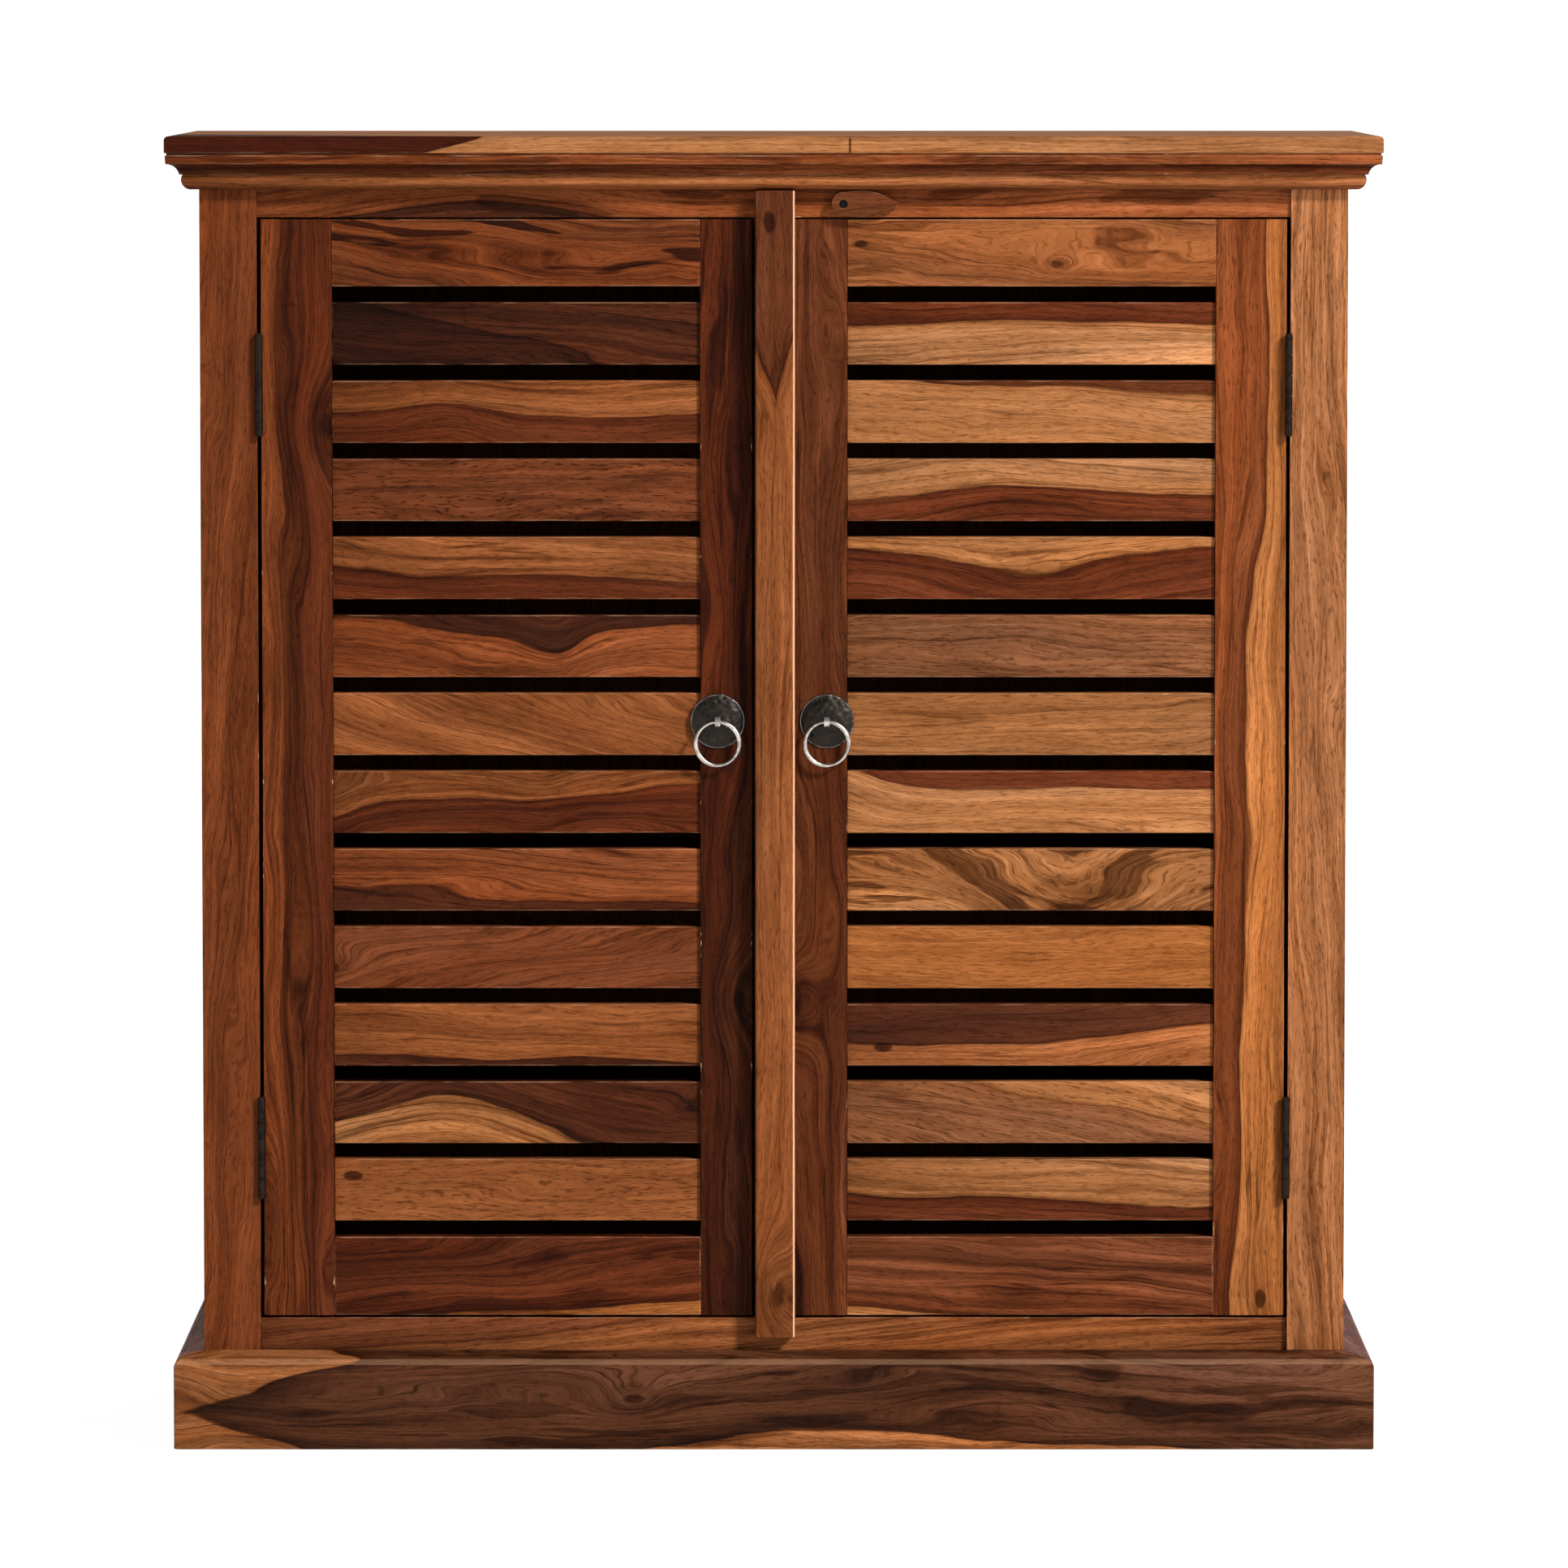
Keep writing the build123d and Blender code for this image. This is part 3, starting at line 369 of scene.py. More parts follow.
class Field:
    """A number or a vector that varies over a surface, so that a material reads as formulas."""

    def __init__(self, tree, socket):
        self.tree = tree
        self.socket = socket

    def math(self, operation, *others):
        node = self.tree.nodes.new("ShaderNodeMath")
        node.operation = operation
        for place, value in enumerate((self, *others)):
            feed(self.tree, node.inputs[place], value)
        return Field(self.tree, node.outputs[0])

    def __add__(self, other):
        return self.math("ADD", other)

    def __sub__(self, other):
        return self.math("SUBTRACT", other)

    def __mul__(self, other):
        return self.math("MULTIPLY", other)

    def __truediv__(self, other):
        return self.math("DIVIDE", other)

    def __rsub__(self, other):
        return (self * -1) + other

    def __abs__(self):
        return self.math("ABSOLUTE")

    def power(self, exponent):
        return self.math("POWER", exponent)

    def largest(self, other):
        return self.math("MAXIMUM", other)

    def least(self, other):
        return self.math("MINIMUM", other)

    def bell(self, place, length):
        """1 at place, falling smoothly to nothing about two lengths away."""
        off = (self - place) / length
        return (off * off * -1).math("EXPONENT")

    def rise(self, start, end):
        """0 at start, 1 at end, smooth between. It falls instead where start is the larger."""
        node = self.tree.nodes.new("ShaderNodeMapRange")
        node.interpolation_type = "SMOOTHSTEP"
        for place, value in ((0, self), (1, start), (2, end)):
            feed(self.tree, node.inputs[place], value)
        return Field(self.tree, node.outputs[0])

    def blend(self, other, share):
        """This number where share is 0, the other where it is 1."""
        return self + (other - self) * share

    def parts(self):
        node = self.tree.nodes.new("ShaderNodeSeparateXYZ")
        feed(self.tree, node.inputs[0], self)
        return [Field(self.tree, socket) for socket in node.outputs]


def feed(tree, socket, value):
    """Gives a socket a field to follow, or a fixed value."""
    if isinstance(value, Field):
        tree.links.new(value.socket, socket)
    else:
        socket.default_value = value


def vector(tree, x, y, z):
    node = tree.nodes.new("ShaderNodeCombineXYZ")
    for place, value in enumerate((x, y, z)):
        feed(tree, node.inputs[place], value)
    return Field(tree, node.outputs[0])


def grain_noise(tree, place, stretch, shift, detail=2.0, roughness=0.5):
    """Smooth noise from 0 to 1 whose spots are 1/stretch long each way; shift tells boards apart."""
    x, y, z = place
    spot = vector(tree, x * stretch[0] + shift, y * stretch[1] + shift, z * stretch[2])
    node = tree.nodes.new("ShaderNodeTexNoise")
    feed(tree, node.inputs["Vector"], spot)
    node.inputs["Scale"].default_value = 1.0
    node.inputs["Detail"].default_value = detail
    node.inputs["Roughness"].default_value = roughness
    return Field(tree, node.outputs["Factor"] if "Factor" in node.outputs else node.outputs[0])


def own(tree, name):
    """A number that the piece itself carries."""
    node = tree.nodes.new("ShaderNodeAttribute")
    node.attribute_type = "OBJECT"
    node.attribute_name = name
    return Field(tree, node.outputs["Fac"])


def own_vector(tree, name):
    """Three numbers, or a colour, that the piece itself carries."""
    node = tree.nodes.new("ShaderNodeAttribute")
    node.attribute_type = "OBJECT"
    node.attribute_name = name
    return Field(tree, node.outputs["Vector"])


def on_mesh(tree, name):
    """A number painted on the piece's mesh."""
    node = tree.nodes.new("ShaderNodeAttribute")
    node.attribute_type = "GEOMETRY"
    node.attribute_name = name
    return Field(tree, node.outputs["Fac"])


def mix(tree, share, first, second, how="MIX"):
    """The first colour where share is 0, and the second, or their product, where it is 1."""
    node = tree.nodes.new("ShaderNodeMix")
    node.data_type = "RGBA"
    node.blend_type = how
    feed(tree, node.inputs[0], share)
    for place, colour in ((6, first), (7, second)):
        feed(tree, node.inputs[place], colour if isinstance(colour, Field) else (*colour, 1.0))
    return Field(tree, node.outputs[2])


def tinted(tree, colour, bright, warmth):
    """A colour made brighter or darker by a field, redder where it is dark, and redder by warmth."""
    red = bright.power(0.85) * (warmth * 0.30 + 1.0)
    blue = bright.power(1.25) * (1.0 - warmth * 0.55)
    return mix(tree, 1.0, colour, vector(tree, red, bright, blue), "MULTIPLY")


def new_material(name):
    """An empty material, its tree and its shader."""
    material = bpy.data.materials.new(name)
    material.use_nodes = True
    tree = material.node_tree
    shader = tree.nodes["Principled BSDF"]
    return material, tree, shader


def bump(tree, shader, height, distance, strength=1.0):
    """Makes the surface catch light as if height, from 0 to 1, were distance deep."""
    node = tree.nodes.new("ShaderNodeBump")
    node.inputs["Distance"].default_value = distance
    node.inputs["Strength"].default_value = strength
    feed(tree, node.inputs["Height"], height)
    tree.links.new(node.outputs["Normal"], shader.inputs["Normal"])


# ---------------------------------------------------------------- wood


def meeting_line(tree, u, name):
    """How high the line between two woods lies at u, and the line's own offset."""
    offset, slope, _unused = own_vector(tree, name).parts()
    shape = u * slope
    for arch in (1, 2):
        height, place, length = own_vector(tree, f"{name}_arch_{arch}").parts()
        shape = shape + u.bell(place, length) * height
    return shape, offset


class Grain:
    """The fields that sheesham is drawn from: bands and ink-dark lines that follow the edges between its
    woods, knots and pores. They read each board's own traits, so many boards can share a material."""

    def __init__(self, tree):
        self.tree = tree
        coordinates = tree.nodes.new("ShaderNodeTexCoord")
        self.place = Field(tree, coordinates.outputs["Object"]).parts()
        self.facing = Field(tree, coordinates.outputs["Normal"]).parts()
        self.half_length, self.half_width, _half_depth = own_vector(tree, "half").parts()
        self.streak, self.wave, self.pore_share = own_vector(tree, "look").parts()
        self.tilt, self.follow, self.under_shade = own_vector(tree, "habit").parts()
        self.seed = own(tree, "seed")
        self.u = self.place[0] / self.half_length
        self.patches = self.noise("patches", self.place)
        self.mottle = self.noise("mottle", self.place)
        self.find_marks()
        self.find_woods()
        self.grow()

    def noise(self, kind, place):
        """One of the NOISES at a place, from 0 to 1 over its window where it has one."""
        stretch, shift, detail, roughness, window = NOISES[kind]
        field = grain_noise(self.tree, place, stretch, self.seed + shift, detail, roughness)
        return field.rise(*window) if window else field

    def reach_of(self, trait, shorter):
        """How many of its sizes away the board's knot or spot is, and its size. It is 1/shorter as long
        as it is wide."""
        mark_u, mark_v, size = own_vector(self.tree, trait).parts()
        along = (self.u - mark_u) * self.half_length * shorter
        across = (self.place[1] / self.half_width - mark_v) * self.half_width
        return (along * along + across * across).power(0.5) / size.largest(TINY), size

    def find_marks(self):
        """Where the knot is, with its dark core and its halo, and where the rust-dark spot is."""
        self.knot_reach, self.knot_size = self.reach_of("knot", KNOT_SHORTER)
        self.is_knot = self.knot_size.rise(0.0, 0.001)
        ragged = self.mottle - 0.5
        self.core = (self.knot_reach + ragged * CORE_RAGGED).rise(*KNOT_CORE) * self.is_knot
        ring_gap = abs(self.knot_reach + ragged * HALO_RAGGED - KNOT_HALO_AT)
        self.halo = ring_gap.rise(KNOT_HALO_WIDTH, 0.0) * self.is_knot
        spot_reach, spot_size = self.reach_of("spot", SPOT_SHORTER)
        on_spot = (spot_reach + ragged * SPOT_RAGGED).rise(*SPOT_EDGE)
        self.spotted = on_spot * spot_size.rise(0.0, 0.0005)

    def height(self):
        """Where the surface lies across the grain once the growth has wandered and the knot has pushed
        it aside, as a share of half the width."""
        _x, y, z = self.place
        drift = self.noise("drift", self.place)
        ripple = self.noise("ripple", self.place)
        wander = (drift - 0.5) * self.wave * DRIFT_SIZE + (ripple - 0.5) * self.wave * RIPPLE_SIZE
        pull = (self.knot_reach * self.knot_reach * KNOT_PULL_FALL).math("EXPONENT") * self.is_knot
        pushed = pull * self.knot_size * KNOT_PULL / self.half_width
        return (y + wander + z * self.tilt) / self.half_width + pushed

    def find_woods(self):
        """Which of the two woods is where, how far their edge is, and the grain that follows the edge."""
        v = self.height()
        low_shape, low_offset = meeting_line(self.tree, self.u, "below")
        high_shape, high_offset = meeting_line(self.tree, self.u, "above")
        over_low = v - low_shape - low_offset
        over_high = v - high_shape - high_offset
        soft = (self.patches.rise(0.5, 0.75) * EDGE_BLUR + EDGE_CRISP) / self.half_width
        into_alt = over_high.largest(over_low * -1)
        self.in_alt = into_alt.rise(soft * -1, soft)
        self.from_edge = abs(into_alt) * self.half_width
        nearer = ((abs(over_low) - abs(over_high)) * 0.7 + 0.5).rise(0.0, 1.0)
        across = (v - low_shape.blend(high_shape, nearer) * self.follow) * self.half_width
        self.grown = (self.place[0], across, self.place[2])

    def grow(self):
        """The patterns that run with the grain and are used more than once."""
        self.bands = self.noise("bands", self.grown)
        self.fibres = self.noise("fibres", self.grown)
        self.pores = self.noise("pores", self.grown)
        off_line = abs(self.noise("lines", self.grown) - 0.5)
        self.inked = off_line.rise(INK_LINE, 0.0) * self.patches.rise(0.32, 0.56)

    def bands_and_lines(self):
        """Broad and narrow bands, smoky clouds, dark lines and dark lenses, as a brightness."""
        off_thin_line = abs(self.noise("thin_lines", self.grown) - 0.5)
        scribed = off_thin_line.rise(SCRIBED_LINE, 0.0) * self.patches.rise(0.62, 0.42)
        bright = 1.0 - (1.0 - self.noise("broad", self.grown)) * self.streak * DARKER["broad"]
        bright = bright * (1.0 - (1.0 - self.bands) * self.streak * DARKER["bands"])
        bright = bright * (1.0 - (1.0 - self.noise("narrow", self.grown)) * DARKER["narrow"])
        bright = bright * (1.0 - self.noise("smoke", self.grown) * self.streak * DARKER["smoke"])
        bright = bright * ((self.fibres - 0.5) * FIBRE_CONTRAST + 1.0)
        bright = bright * ((self.mottle - 0.5) * MOTTLE_CONTRAST + 1.0)
        bright = bright * (1.0 - self.inked * self.streak.least(1.3) * DARKER["inked"])
        bright = bright * (1.0 - scribed * self.streak.least(1.2) * DARKER["scribed"])
        lenses = self.noise("lenses", self.grown) * own(self.tree, "ink")
        return bright * (1.0 - lenses * DARKER["lenses"])

    def edges_and_marks(self):
        """The dark line and the rim where woods meet, the pores, the knot and the spot, as a brightness."""
        rim_side, rim_width, rim_depth = own_vector(self.tree, "rim").parts()
        rim_share = self.in_alt.blend(1.0 - self.in_alt, rim_side)
        edge_line = (self.from_edge / (EDGE_LINE * -1)).math("EXPONENT")
        rim = (self.from_edge / (rim_width * -1)).math("EXPONENT") * rim_share * rim_depth
        bright = (1.0 - edge_line * DARKER["edge"]) * (1.0 - rim)
        bright = bright * (1.0 - self.pores * self.pore_share * DARKER["pores"])
        bright = bright * (1.0 - self.core * DARKER["core"]) * (1.0 - self.halo * DARKER["halo"])
        return bright * (1.0 - self.spotted * DARKER["spot"])

    def light(self):
        """The board's own tone, the painted light gradient set by lean, its swell in the middle, its dark
        end grain and the painted shade on what faces down, as a brightness.
        """
        tone, painted_light_lean, swell = own_vector(self.tree, "light").parts()
        end_grain = abs(self.facing[0]).rise(*FACES_ENDWAYS)
        # Painted shade on what faces down, as strong as grime.
        under = self.facing[1].rise(*FACES_DOWN) * self.under_shade
        # Painted light: brighter by lean towards the board's +X end.
        shade = (self.u * painted_light_lean + (1.0 - self.u * self.u) * swell + 1.0) * tone * OVERALL_TONE
        return (1.0 - end_grain * DARKER["end_grain"]) * (1.0 - under) * shade

    def colour(self):
        """The colour of the wood itself."""
        bright = (self.bands_and_lines() * self.edges_and_marks() * self.light()).largest(DARKEST)
        colour = mix(self.tree, self.in_alt, own_vector(self.tree, "base"), own_vector(self.tree, "alt"))
        warmth = self.noise("warmth", self.grown) - 0.5
        return tinted(self.tree, colour, bright, warmth * self.streak.least(1.2))

    def worn(self, colour):
        """The colour where rubbed edges show raw wood, in a thin line and in ragged slivers beside it, and a
        painted highlight in raw-wood colour on the lit slants.
        """
        worn = own(self.tree, "worn")
        not_ends = abs(self.facing[0]).rise(0.5, 0.2)
        rubbed = on_mesh(self.tree, "arris") * self.noise("rub", self.place) * not_ends * worn
        colour = mix(self.tree, rubbed * RUBBED_SHARE, colour, linear(RAW_WOOD_AND_HIGHLIGHT))
        sliver_width = self.noise("sliver", self.place) * worn * SLIVER_WIDTH
        edge_gap = (abs(self.place[1]) * -1 + self.half_width) + (self.mottle - 0.5) * 0.0012
        on_face = abs(self.facing[2]).rise(0.6, 0.9)
        sliver = (sliver_width - edge_gap).rise(0.0, 0.0004) * on_face
        colour = mix(self.tree, sliver * SLIVER_SHARE, colour, linear(RAW_WOOD_AND_HIGHLIGHT))
        # Painted highlight in raw-wood colour on the lit slants of the cover strip and the plinth.
        return mix(self.tree, on_mesh(self.tree, "chamfer"), colour, linear(RAW_WOOD_AND_HIGHLIGHT))

    def roughness(self, base):
        """Dark bands and pores are duller than the rest."""
        return (1.0 - self.bands) * 0.10 + self.pores * 0.10 + (self.patches - 0.5) * 0.14 + base

    def relief(self):
        """Fibres and pale bands stand up, and pores, the knot and inked lines lie deeper."""
        raised = self.fibres * 0.6 + self.bands * 0.25
        return raised - self.pores * 0.6 - self.core * 0.6 - self.inked * 0.3


def wood(name, roughness, shine):
    """Sheesham with an oiled surface."""
    material, tree, shader = new_material(name)
    grain = Grain(tree)
    tree.links.new(grain.worn(grain.colour()).socket, shader.inputs["Base Color"])
    tree.links.new(grain.roughness(roughness).socket, shader.inputs["Roughness"])
    shader.inputs["Specular IOR Level"].default_value = shine
    bump(tree, shader, grain.relief(), GRAIN_RELIEF, 0.8)
    return material


# ---------------------------------------------------------------- metal


def metal(name, colour, rust, roughness, hammer, polish):
    """Worked iron: dark and uneven, brighter where it is rubbed, which on the rose's rim is also a painted
    highlight, with hammer marks hammer deep.
    """
    material, tree, shader = new_material(name)
    coordinates = tree.nodes.new("ShaderNodeTexCoord")
    place = Field(tree, coordinates.outputs["Object"]).parts()
    clouds = grain_noise(tree, place, METAL_CLOUDS, 0.0, 3.0, 0.6)
    grit = grain_noise(tree, place, METAL_GRIT, 4.0, 2.0, 0.6)
    blows = grain_noise(tree, place, METAL_BLOWS, 9.0, 0.0)
    base = mix(tree, clouds.rise(0.42, 0.62), linear(colour), linear(rust))
    # Bare metal where the arris is marked: rubbed, and on the rose's rim a painted highlight too.
    rubbed = on_mesh(tree, "arris") * clouds.rise(0.75, 0.35)
    base = mix(tree, rubbed * polish, base, BARE_AND_HIGHLIT_METAL)
    tree.links.new(base.socket, shader.inputs["Base Color"])
    shader.inputs["Metallic"].default_value = 0.9
    uneven = (clouds - 0.5) * 0.3 + (grit - 0.5) * 0.2 - rubbed * 0.12 + roughness
    tree.links.new(uneven.socket, shader.inputs["Roughness"])
    bump(tree, shader, blows * 0.85 + grit * 0.15, hammer, 0.8)
    return material


# ---------------------------------------------------------------- boards cut from the CAD solids

GRAIN_UP = Matrix(((0, 1, 0), (0, 0, 1), (1, 0, 0)))
GRAIN_ACROSS = Matrix(((1, 0, 0), (0, 0, -1), (0, 1, 0)))
GRAIN_BACK = Matrix(((0, 0, 1), (1, 0, 0), (0, 1, 0)))
GRAIN_FLAT = Matrix(((1, 0, 0), (0, 1, 0), (0, 0, 1)))
GRAIN_UP_SIDE = Matrix(((0, 0, -1), (0, 1, 0), (1, 0, 0)))


def grain_axes(node):
    """The board's own axes: X along the grain, Y across its show face, Z through it."""
    if node.endswith("side_panel"):
        return GRAIN_UP_SIDE
    if node.endswith(("post", "stile", "cover_strip", "back_panel")):
        return GRAIN_UP
    if "_side_" in node or node in SIDE_MOULDINGS or node == "shelf_cleats":
        return GRAIN_BACK
    if node.startswith(("top_board", "shelf", "floor_board")):
        return GRAIN_FLAT
    return GRAIN_ACROSS


SIDE_MOULDINGS = [f"{kind}_{side}" for kind in ("crown", "bead", "plinth") for side in ("left", "right")]


def solids_of(node):
    """The separate solids of a CAD node, each as a list of points and a list of faces, from the top down."""
    whole = bmesh.new()
    whole.from_mesh(frame["nodes"][node].data)
    bmesh.ops.remove_doubles(whole, verts=whole.verts[:], dist=WELD)
    whole.verts.ensure_lookup_table()
    whole.verts.index_update()
    group_of = {}
    groups = []
    for start in whole.verts:
        if start.index in group_of:
            continue
        group_of[start.index] = len(groups)
        waiting = [start]
        members = []
        while waiting:
            point = waiting.pop()
            members.append(point.index)
            for edge in point.link_edges:
                other = edge.other_vert(point)
                if other.index not in group_of:
                    group_of[other.index] = len(groups)
                    waiting.append(other)
        groups.append(sorted(members))
    solids = []
    for number, members in enumerate(groups):
        place_in = {index: place for place, index in enumerate(members)}
        points = [whole.verts[index].co.copy() for index in members]
        faces = [
            [place_in[corner.index] for corner in face.verts]
            for face in whole.faces
            if group_of[face.verts[0].index] == number
        ]
        solids.append((points, faces))
    whole.free()
    return sorted(solids, key=lambda solid: -max(point.z for point in solid[0]))


def clean_mesh(points, faces):
    """A solid with its flat faces whole again."""
    mesh = bmesh.new()
    corners = [mesh.verts.new(point) for point in points]
    for face in faces:
        mesh.faces.new([corners[place] for place in face])
    bmesh.ops.recalc_face_normals(mesh, faces=mesh.faces[:])
    bmesh.ops.dissolve_limit(
        mesh, angle_limit=math.radians(0.6), verts=mesh.verts[:], edges=mesh.edges[:],
        use_dissolve_boundaries=False,
    )
    return mesh


def cut_stations(mesh, half_length):
    """Cuts a board across at even stations, so that its long edges can wander."""
    count = max(2, round(2 * half_length / STATION))
    for step in range(1, count):
        x = -half_length + 2 * half_length * step / count
        geometry = mesh.verts[:] + mesh.edges[:] + mesh.faces[:]
        bmesh.ops.bisect_plane(mesh, geom=geometry, dist=1e-6, plane_co=(x, 0, 0), plane_no=(1, 0, 0))


def hand_made(mesh, half, seed, moulded):
    """Long edges wander inwards a little, and here and there one is nicked. Mouldings are finer work:
    their edges wander half as far, and they have no nicks."""
    wobble = WOBBLE * (0.5 if moulded else 1.0)
    for point in mesh.verts:
        x, y, z = point.co
        side_y = 1 if y > 0 else -1
        side_z = 1 if z > 0 else -1
        near_y = min(1.0, abs(y) / half.y)
        near_z = min(1.0, abs(z) / half.z)
        drift_y = noise.noise(Vector((x * EDGE_RATE, side_y * 5.3, seed * 1.7)))
        drift_z = noise.noise(Vector((x * FACE_RATE, side_z * 7.1, seed * 2.3 + 40)))
        point.co.y += wobble * drift_y * near_y
        point.co.z += FACE_WOBBLE * drift_z * near_z
        dent = noise.noise(Vector((x * NICK_RATE, side_y * 3.1 + side_z * 1.7, seed * 0.9)))
        if not moulded and dent > NICKED_ABOVE and near_y > 0.9 and near_z > 0.9:
            point.co.y -= side_y * NICK * (dent - NICKED_ABOVE)
            point.co.z -= side_z * NICK * (dent - NICKED_ABOVE)
        point.co.y = min(max(point.co.y, -half.y), half.y)
        point.co.z = min(max(point.co.z, -half.z), half.z)


def paint_lit_slant(mesh, front, strength):
    """Paints a highlight of strength on the faces that slant between a board's front, which is its +Z or -Z
    side, and its +Y edge, where the light falls, and 0 elsewhere."""
    painted = mesh.loops.layers.float.new("chamfer")
    for face in mesh.faces:
        if face.normal.y > SLANT_LEVEL and face.normal.z * front > SLANT_LEVEL:
            for corner in face.loops:
                corner[painted] = strength


def ease_edges(mesh, width, segments=2):
    """Rounds the sharp edges, and paints 1 on the rounded faces and 0 elsewhere."""
    painted = mesh.loops.layers.float.new("arris")
    sharp = [e for e in mesh.edges if len(e.link_faces) == 2 and e.calc_face_angle(0) > SHARP]
    made = bmesh.ops.bevel(
        mesh, geom=sharp, offset=width, offset_type="OFFSET", segments=segments, profile=0.5,
        affect="EDGES", clamp_overlap=True, loop_slide=True,
    )
    for face in made["faces"]:
        for corner in face.loops:
            corner[painted] = 1.0


def finish_mesh(mesh, name):
    """Turns a built mesh into an object with smooth shading that keeps its flat faces flat."""
    data = bpy.data.meshes.new(name)
    mesh.to_mesh(data)
    mesh.free()
    data.polygons.foreach_set("use_smooth", [True] * len(data.polygons))
    piece = bpy.data.objects.new(name, data)
    bpy.context.scene.collection.objects.link(piece)
    weighted = piece.modifiers.new("flat_faces", "WEIGHTED_NORMAL")
    weighted.weight = 100
    weighted.keep_sharp = False
    return piece


def set_figure(piece, look, half, seed):
    """Gives a board the numbers that its wood is drawn from."""
    piece["half"] = list(half)
    piece["seed"] = seed * SEED_STEP
    piece["base"] = linear(look["base"])
    piece["alt"] = linear(look["alt"])
    for trait in ("look", "light", "habit", "rim", "knot", "spot"):
        piece[trait] = [float(part) for part in look[trait]]
    piece["ink"] = look["ink"]
    piece["worn"] = look["worn"]
    for side in ("below", "above"):
        piece[side] = [look[side]["offset"], look[side]["slope"], 0.0]
        for number, arch in enumerate(look[side]["arches"], 1):
            piece[f"{side}_arch_{number}"] = [float(part) for part in arch]


def board(node, name, solid, seed, material):
    """One board: the CAD solid with eased, slightly uneven edges and its own figure."""
    points, faces = solid
    low = Vector([min(p[axis] for p in points) for axis in range(3)])
    high = Vector([max(p[axis] for p in points) for axis in range(3)])
    centre = (low + high) / 2
    axes = grain_axes(node)
    to_board = axes.transposed()
    local = [to_board @ (point - centre) for point in points]
    half = Vector([max(abs(p[axis]) for p in local) for axis in range(3)])
    mesh = clean_mesh(local, faces)
    cut_stations(mesh, half.x)
    moulded = node.split("_")[0] in ("crown", "bead", "plinth")
    hand_made(mesh, half, seed, moulded)
    # The cover strip's right front slant and the plinth's top front shoulder get a painted highlight.
    if name.endswith("cover_strip"):
        paint_lit_slant(mesh, -1, STRIP_SLANT_HIGHLIGHT)
    if name == "plinth_front":
        paint_lit_slant(mesh, 1, PLINTH_SLANT_HIGHLIGHT)
    ease_edges(mesh, min(ARRIS, half.z * 0.3))
    piece = finish_mesh(mesh, f"{name}_wood")
    piece.data.materials.append(material)
    piece.matrix_world = Matrix.Translation(centre) @ axes.to_4x4()
    set_figure(piece, figure_of(name, seed), half, seed)
    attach(piece, body_of_node(node))
    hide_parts(node)
    return piece


def body_of_node(node):
    """The CAD body that a node belongs to."""
    bodies = frame["record"]["behaviour"]["bodies"]
    return next(body for body, members in bodies.items() if node in members)


def slots_by_node():
    """The material slot that the record gives each node."""
    return {
        node: frame["nodes"][node].data.materials[0].name
        for node in frame["nodes"]
    }


def build_boards(materials):
    """Every wooden piece, one for each solid."""
    seed = 1
    for node, slot in sorted(slots_by_node().items()):
        if slot not in ("sheesham", "inner_wood", "back_board"):
            continue
        solids = solids_of(node)
        for number, solid in enumerate(solids, 1):
            name = node if len(solids) == 1 else f"{node.removesuffix('s')}_{number:02d}"
            board(node, name, solid, seed, materials[slot])
            seed += 1


# ---------------------------------------------------------------- metalwork and the turn button


def build_metalwork(materials):
    """Hinges, screws, eye bolts and nuts: the CAD solids in worked metal, the eyes rubbed like the rings."""
    for node, slot in sorted(slots_by_node().items()):
        if slot in ("sheesham", "inner_wood", "back_board", "button_wood"):
            continue
        look = "worn_iron" if node.endswith("eye_bolt") else slot
        frame["nodes"][node].data.materials[0] = materials[look]


def hammered(place, seed):
    """How deep hammer blows have gone at a place, from 0 to 1: round dents that overlap."""
    spots, _places = noise.voronoi(Vector((place.x / BLOW, place.y / BLOW, seed)))
    return max(0.0, 1.0 - spots[0]) ** 2


def build_rose(side, seed, material):
    """A hammered dome on a thin rim that is painted bright, as rubbed metal and a painted highlight, round
    the shank of the eye bolt.
    """
    low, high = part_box(f"{side}_pull_rose")
    centre = Vector(((low.x + high.x) / 2, high.y, (low.z + high.z) / 2))
    radius = (high.x - low.x) / 2
    depth = high.y - low.y
    mesh = bmesh.new()
    painted = mesh.loops.layers.float.new("arris")
    rings = []
    for out, height in rose_profile(radius, depth):
        ring = []
        for step in range(ROSE_STEPS):
            turn = 2 * math.pi * step / ROSE_STEPS
            uneven = 1 + ROSE_UNEVEN * noise.noise(Vector((math.cos(turn) * 2, math.sin(turn) * 2, seed)))
            flat = Vector((out * uneven * math.cos(turn), 0, out * uneven * math.sin(turn)))
            dent = hammered(Vector((flat.x, flat.z, 0)), seed) * BLOW_DEPTH
            rise = height - dent if height > ROSE_RIM else height
            ring.append(mesh.verts.new(centre + flat - Vector((0, rise, 0))))
        rings.append(ring)
    for number, (inner, outer) in enumerate(zip(rings, rings[1:])):
        for step in range(ROSE_STEPS):
            after = (step + 1) % ROSE_STEPS
            face = mesh.faces.new((inner[step], inner[after], outer[after], outer[step]))
            # The outer rings of the rim are painted bright: rubbed metal and a painted highlight.
            on_rim = number >= len(rings) - ROSE_RUBBED_AND_HIGHLIT_RINGS
            for corner in face.loops:
                corner[painted] = 1.0 if on_rim else 0.0
    bmesh.ops.holes_fill(mesh, edges=[edge for edge in mesh.edges if edge.is_boundary])
    bmesh.ops.recalc_face_normals(mesh, faces=mesh.faces[:])
    piece = finish_mesh(mesh, f"{side}_rose_hammered")
    piece.data.materials.append(material)
    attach(piece, f"{side}_door")
    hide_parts(f"{side}_pull_rose")


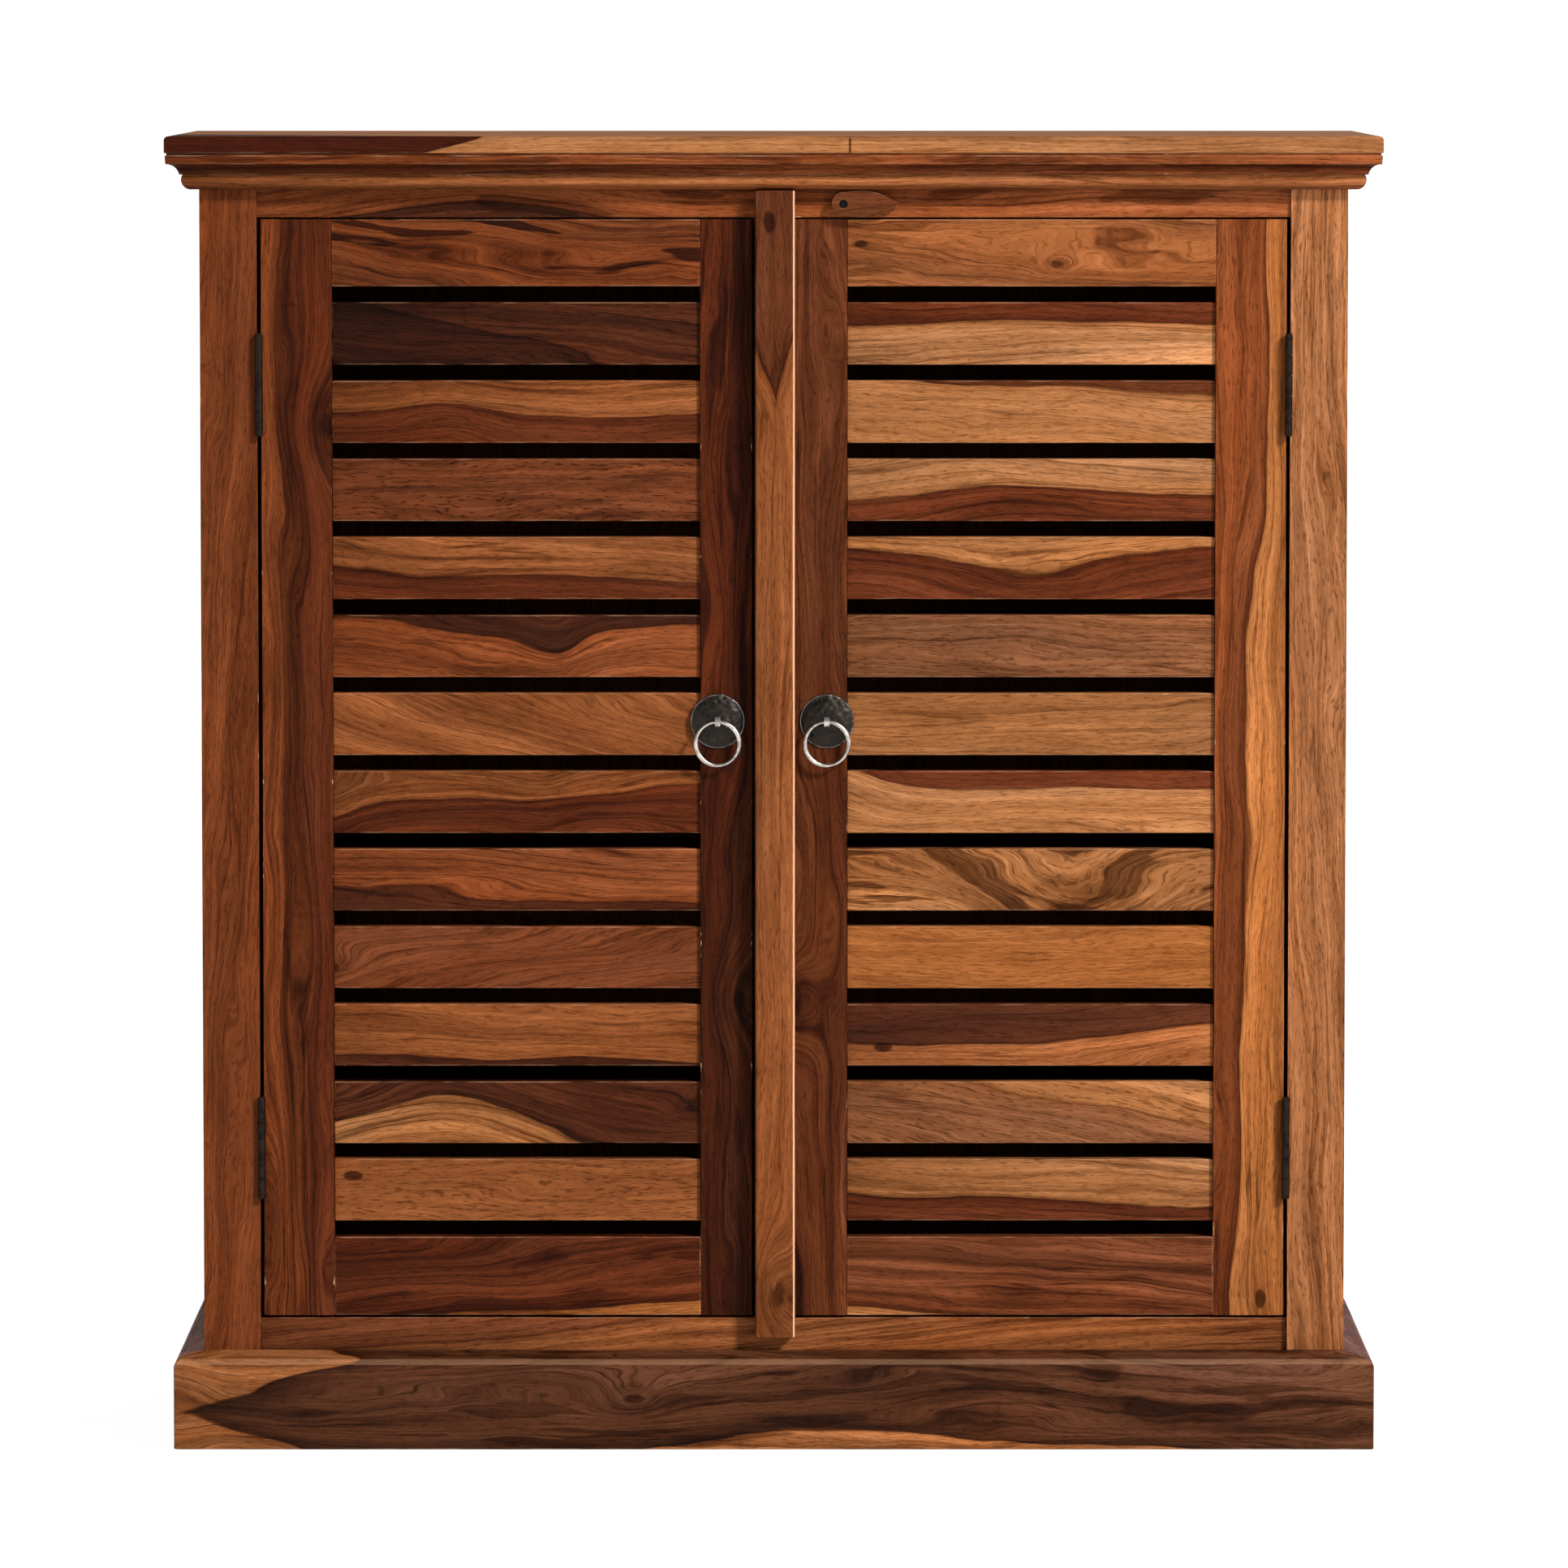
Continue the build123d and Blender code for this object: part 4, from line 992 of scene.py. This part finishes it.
def rose_profile(radius, depth):
    """The dome from its hole to its back edge, as distances from the middle and heights off the door."""
    hole = ROSE_HOLE / radius
    shares = [hole + (ROSE_SHOULDER - hole) * step / ROSE_RINGS for step in range(ROSE_RINGS + 1)]
    dome = [(radius * share, ROSE_RIM + (depth - ROSE_RIM) * (1 - share**2.2)) for share in shares]
    rim_steps = ((0.975, 1.5), (0.99, 1.3), (1.0, 0.8), (1.0, 0.0))
    rim = [(radius * share, ROSE_RIM * height) for share, height in rim_steps]
    return [*dome, *rim]


def build_ring(side, seed, material):
    """A ring bent from thin bar, a little uneven, worn bright where it is held."""
    low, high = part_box(f"{side}_pull_ring")
    centre = (Vector(low) + Vector(high)) / 2
    wire = (high.y - low.y) / 2
    radius = (high.x - low.x) / 2 - wire
    mesh = bmesh.new()
    rings = []
    for step in range(RING_STEPS):
        turn = 2 * math.pi * step / RING_STEPS
        out = Vector((math.sin(turn), 0, math.cos(turn)))
        free = (1 - math.cos(turn)) / 2
        bent = noise.noise(Vector((math.cos(turn), math.sin(turn), seed))) * RING_UNEVEN * free
        fuller = 1 + RING_SWELL * math.cos(2 * (turn - RING_THICK))
        middle = centre + out * (radius + bent)
        ring = []
        for around in range(WIRE_STEPS):
            angle = 2 * math.pi * around / WIRE_STEPS
            offset = out * math.cos(angle) + Vector((0, math.sin(angle), 0))
            ring.append(mesh.verts.new(middle + offset * wire * fuller))
        rings.append(ring)
    for step in range(RING_STEPS):
        one = rings[step]
        two = rings[(step + 1) % RING_STEPS]
        for around in range(WIRE_STEPS):
            after = (around + 1) % WIRE_STEPS
            mesh.faces.new((one[around], one[after], two[after], two[around]))
    bmesh.ops.recalc_face_normals(mesh, faces=mesh.faces[:])
    piece = finish_mesh(mesh, f"{side}_ring_bar")
    piece.data.materials.append(material)
    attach(piece, f"{side}_ring")
    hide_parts(f"{side}_pull_ring")


def build_turn_button(materials):
    """The turn button: the CAD solid with rounded edges."""
    node = "turn_button"
    for solid in solids_of(node):
        board(node, "turn_button_piece", solid, BUTTON_SEED, materials["button_wood"])


# ---------------------------------------------------------------- stage, light and camera


def build_floor():
    """A plain pale floor that reaches to the horizon."""
    data = bpy.data.meshes.new("floor")
    reach = 500.0
    corners = [(-reach, -reach, 0), (reach, -reach, 0), (reach, reach, 0), (-reach, reach, 0)]
    data.from_pydata(corners, [], [(0, 1, 2, 3)])
    floor = bpy.data.objects.new("floor", data)
    bpy.context.scene.collection.objects.link(floor)
    material, _tree, shader = new_material("floor")
    shader.inputs["Base Color"].default_value = (FLOOR_GREY, FLOOR_GREY, FLOOR_GREY, 1)
    shader.inputs["Roughness"].default_value = 0.8
    shader.inputs["Emission Color"].default_value = (1, 1, 1, 1)
    shader.inputs["Emission Strength"].default_value = FLOOR_GLOW
    data.materials.append(material)


def area_light(name, place, target, size, power):
    """A square soft light, size metres across, that faces target."""
    data = bpy.data.lights.new(name, "AREA")
    data.size = size
    data.energy = power
    aim_light(name, data, place, target)


def sun_light(name, place, target, spread, power):
    """Light of even strength from one side, with shadows as soft as its spread in degrees."""
    data = bpy.data.lights.new(name, "SUN")
    data.angle = math.radians(spread)
    data.energy = power
    aim_light(name, data, place, target)


def aim_light(name, data, place, target):
    """Puts a light at its place, facing its target."""
    light = bpy.data.objects.new(name, data)
    bpy.context.scene.collection.objects.link(light)
    light.location = place
    light.rotation_mode = "QUATERNION"
    light.rotation_quaternion = (Vector(target) - Vector(place)).to_track_quat("-Z", "Y")


def build_light():
    """Soft light from the upper right, stronger on the cabinet's right, and two lights behind it."""
    middle = (0, 0, 0.5)
    sun_light("daylight", (4.4, -4.4, 5.0), middle, 9, 4.0)
    area_light("key", (1.9, -2.0, 1.6), middle, 0.9, 10)
    area_light("behind_left", (-2.8, 1.8, 1.8), middle, 1.8, 30)
    area_light("behind_right", (1.8, 3.0, 2.0), middle, 1.8, 25)
    build_backdrop()


def build_backdrop():
    """A white backdrop that goes up past the horizon and fades into a dim ceiling."""
    world = bpy.data.worlds.new("studio")
    world.use_nodes = True
    tree = world.node_tree
    coordinates = tree.nodes.new("ShaderNodeTexCoord")
    _x, _y, up = Field(tree, coordinates.outputs["Generated"]).parts()
    strength = up.rise(0.10, 0.35) * (CEILING - BACKDROP) + BACKDROP
    tree.links.new(strength.socket, tree.nodes["Background"].inputs["Strength"])
    tree.nodes["Background"].inputs["Color"].default_value = (1, 1, 1, 1)
    bpy.context.scene.world = world


def build_camera():
    """The camera stands well back and above, and looks down at the middle of the cabinet's front."""
    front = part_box("left_door_hinge_stile")[0].y
    aim = Vector((VIEW_CENTRE_X, front, VIEW_CENTRE_Z))
    place = Vector((VIEW_CENTRE_X, front - CAMERA_DISTANCE, CAMERA_HEIGHT))
    data = bpy.data.cameras.new("camera")
    data.sensor_width = SENSOR
    data.lens = SENSOR * (aim - place).length / VIEW_WIDTH
    camera = bpy.data.objects.new("camera", data)
    bpy.context.scene.collection.objects.link(camera)
    camera.location = place
    camera.rotation_mode = "QUATERNION"
    camera.rotation_quaternion = (aim - place).to_track_quat("-Z", "Y")
    bpy.context.scene.camera = camera


def build_scene():
    materials = {
        "sheesham": wood("sheesham_grain", 0.46, 0.05),
        "inner_wood": wood("inner_grain", 0.60, 0.05),
        "back_board": wood("back_grain", 0.62, 0.05),
        "button_wood": wood("button_grain", 0.66, 0.05),
        "dark_iron": metal("forged_iron", (40, 37, 34), (50, 43, 37), 0.42, 0.0009, 0.3),
        "worn_iron": metal("rubbed_iron", (212, 206, 198), (168, 160, 150), 0.30, 0.0002, 0.9),
        "hinge_steel": metal("hinge_metal", (42, 32, 26), (26, 20, 16), 0.40, 0.0001, 0.5),
        "screw_steel": metal("screw_metal", (26, 19, 15), (20, 15, 12), 0.55, 0.0001, 0.1),
    }
    build_boards(materials)
    build_turn_button(materials)
    build_metalwork(materials)
    for seed, side in enumerate(("left", "right"), 3):
        build_rose(side, seed, materials["dark_iron"])
        build_ring(side, seed, materials["worn_iron"])
    build_floor()
    build_light()
    build_camera()
    bpy.context.scene.view_settings.view_transform = "Standard"


build_scene()
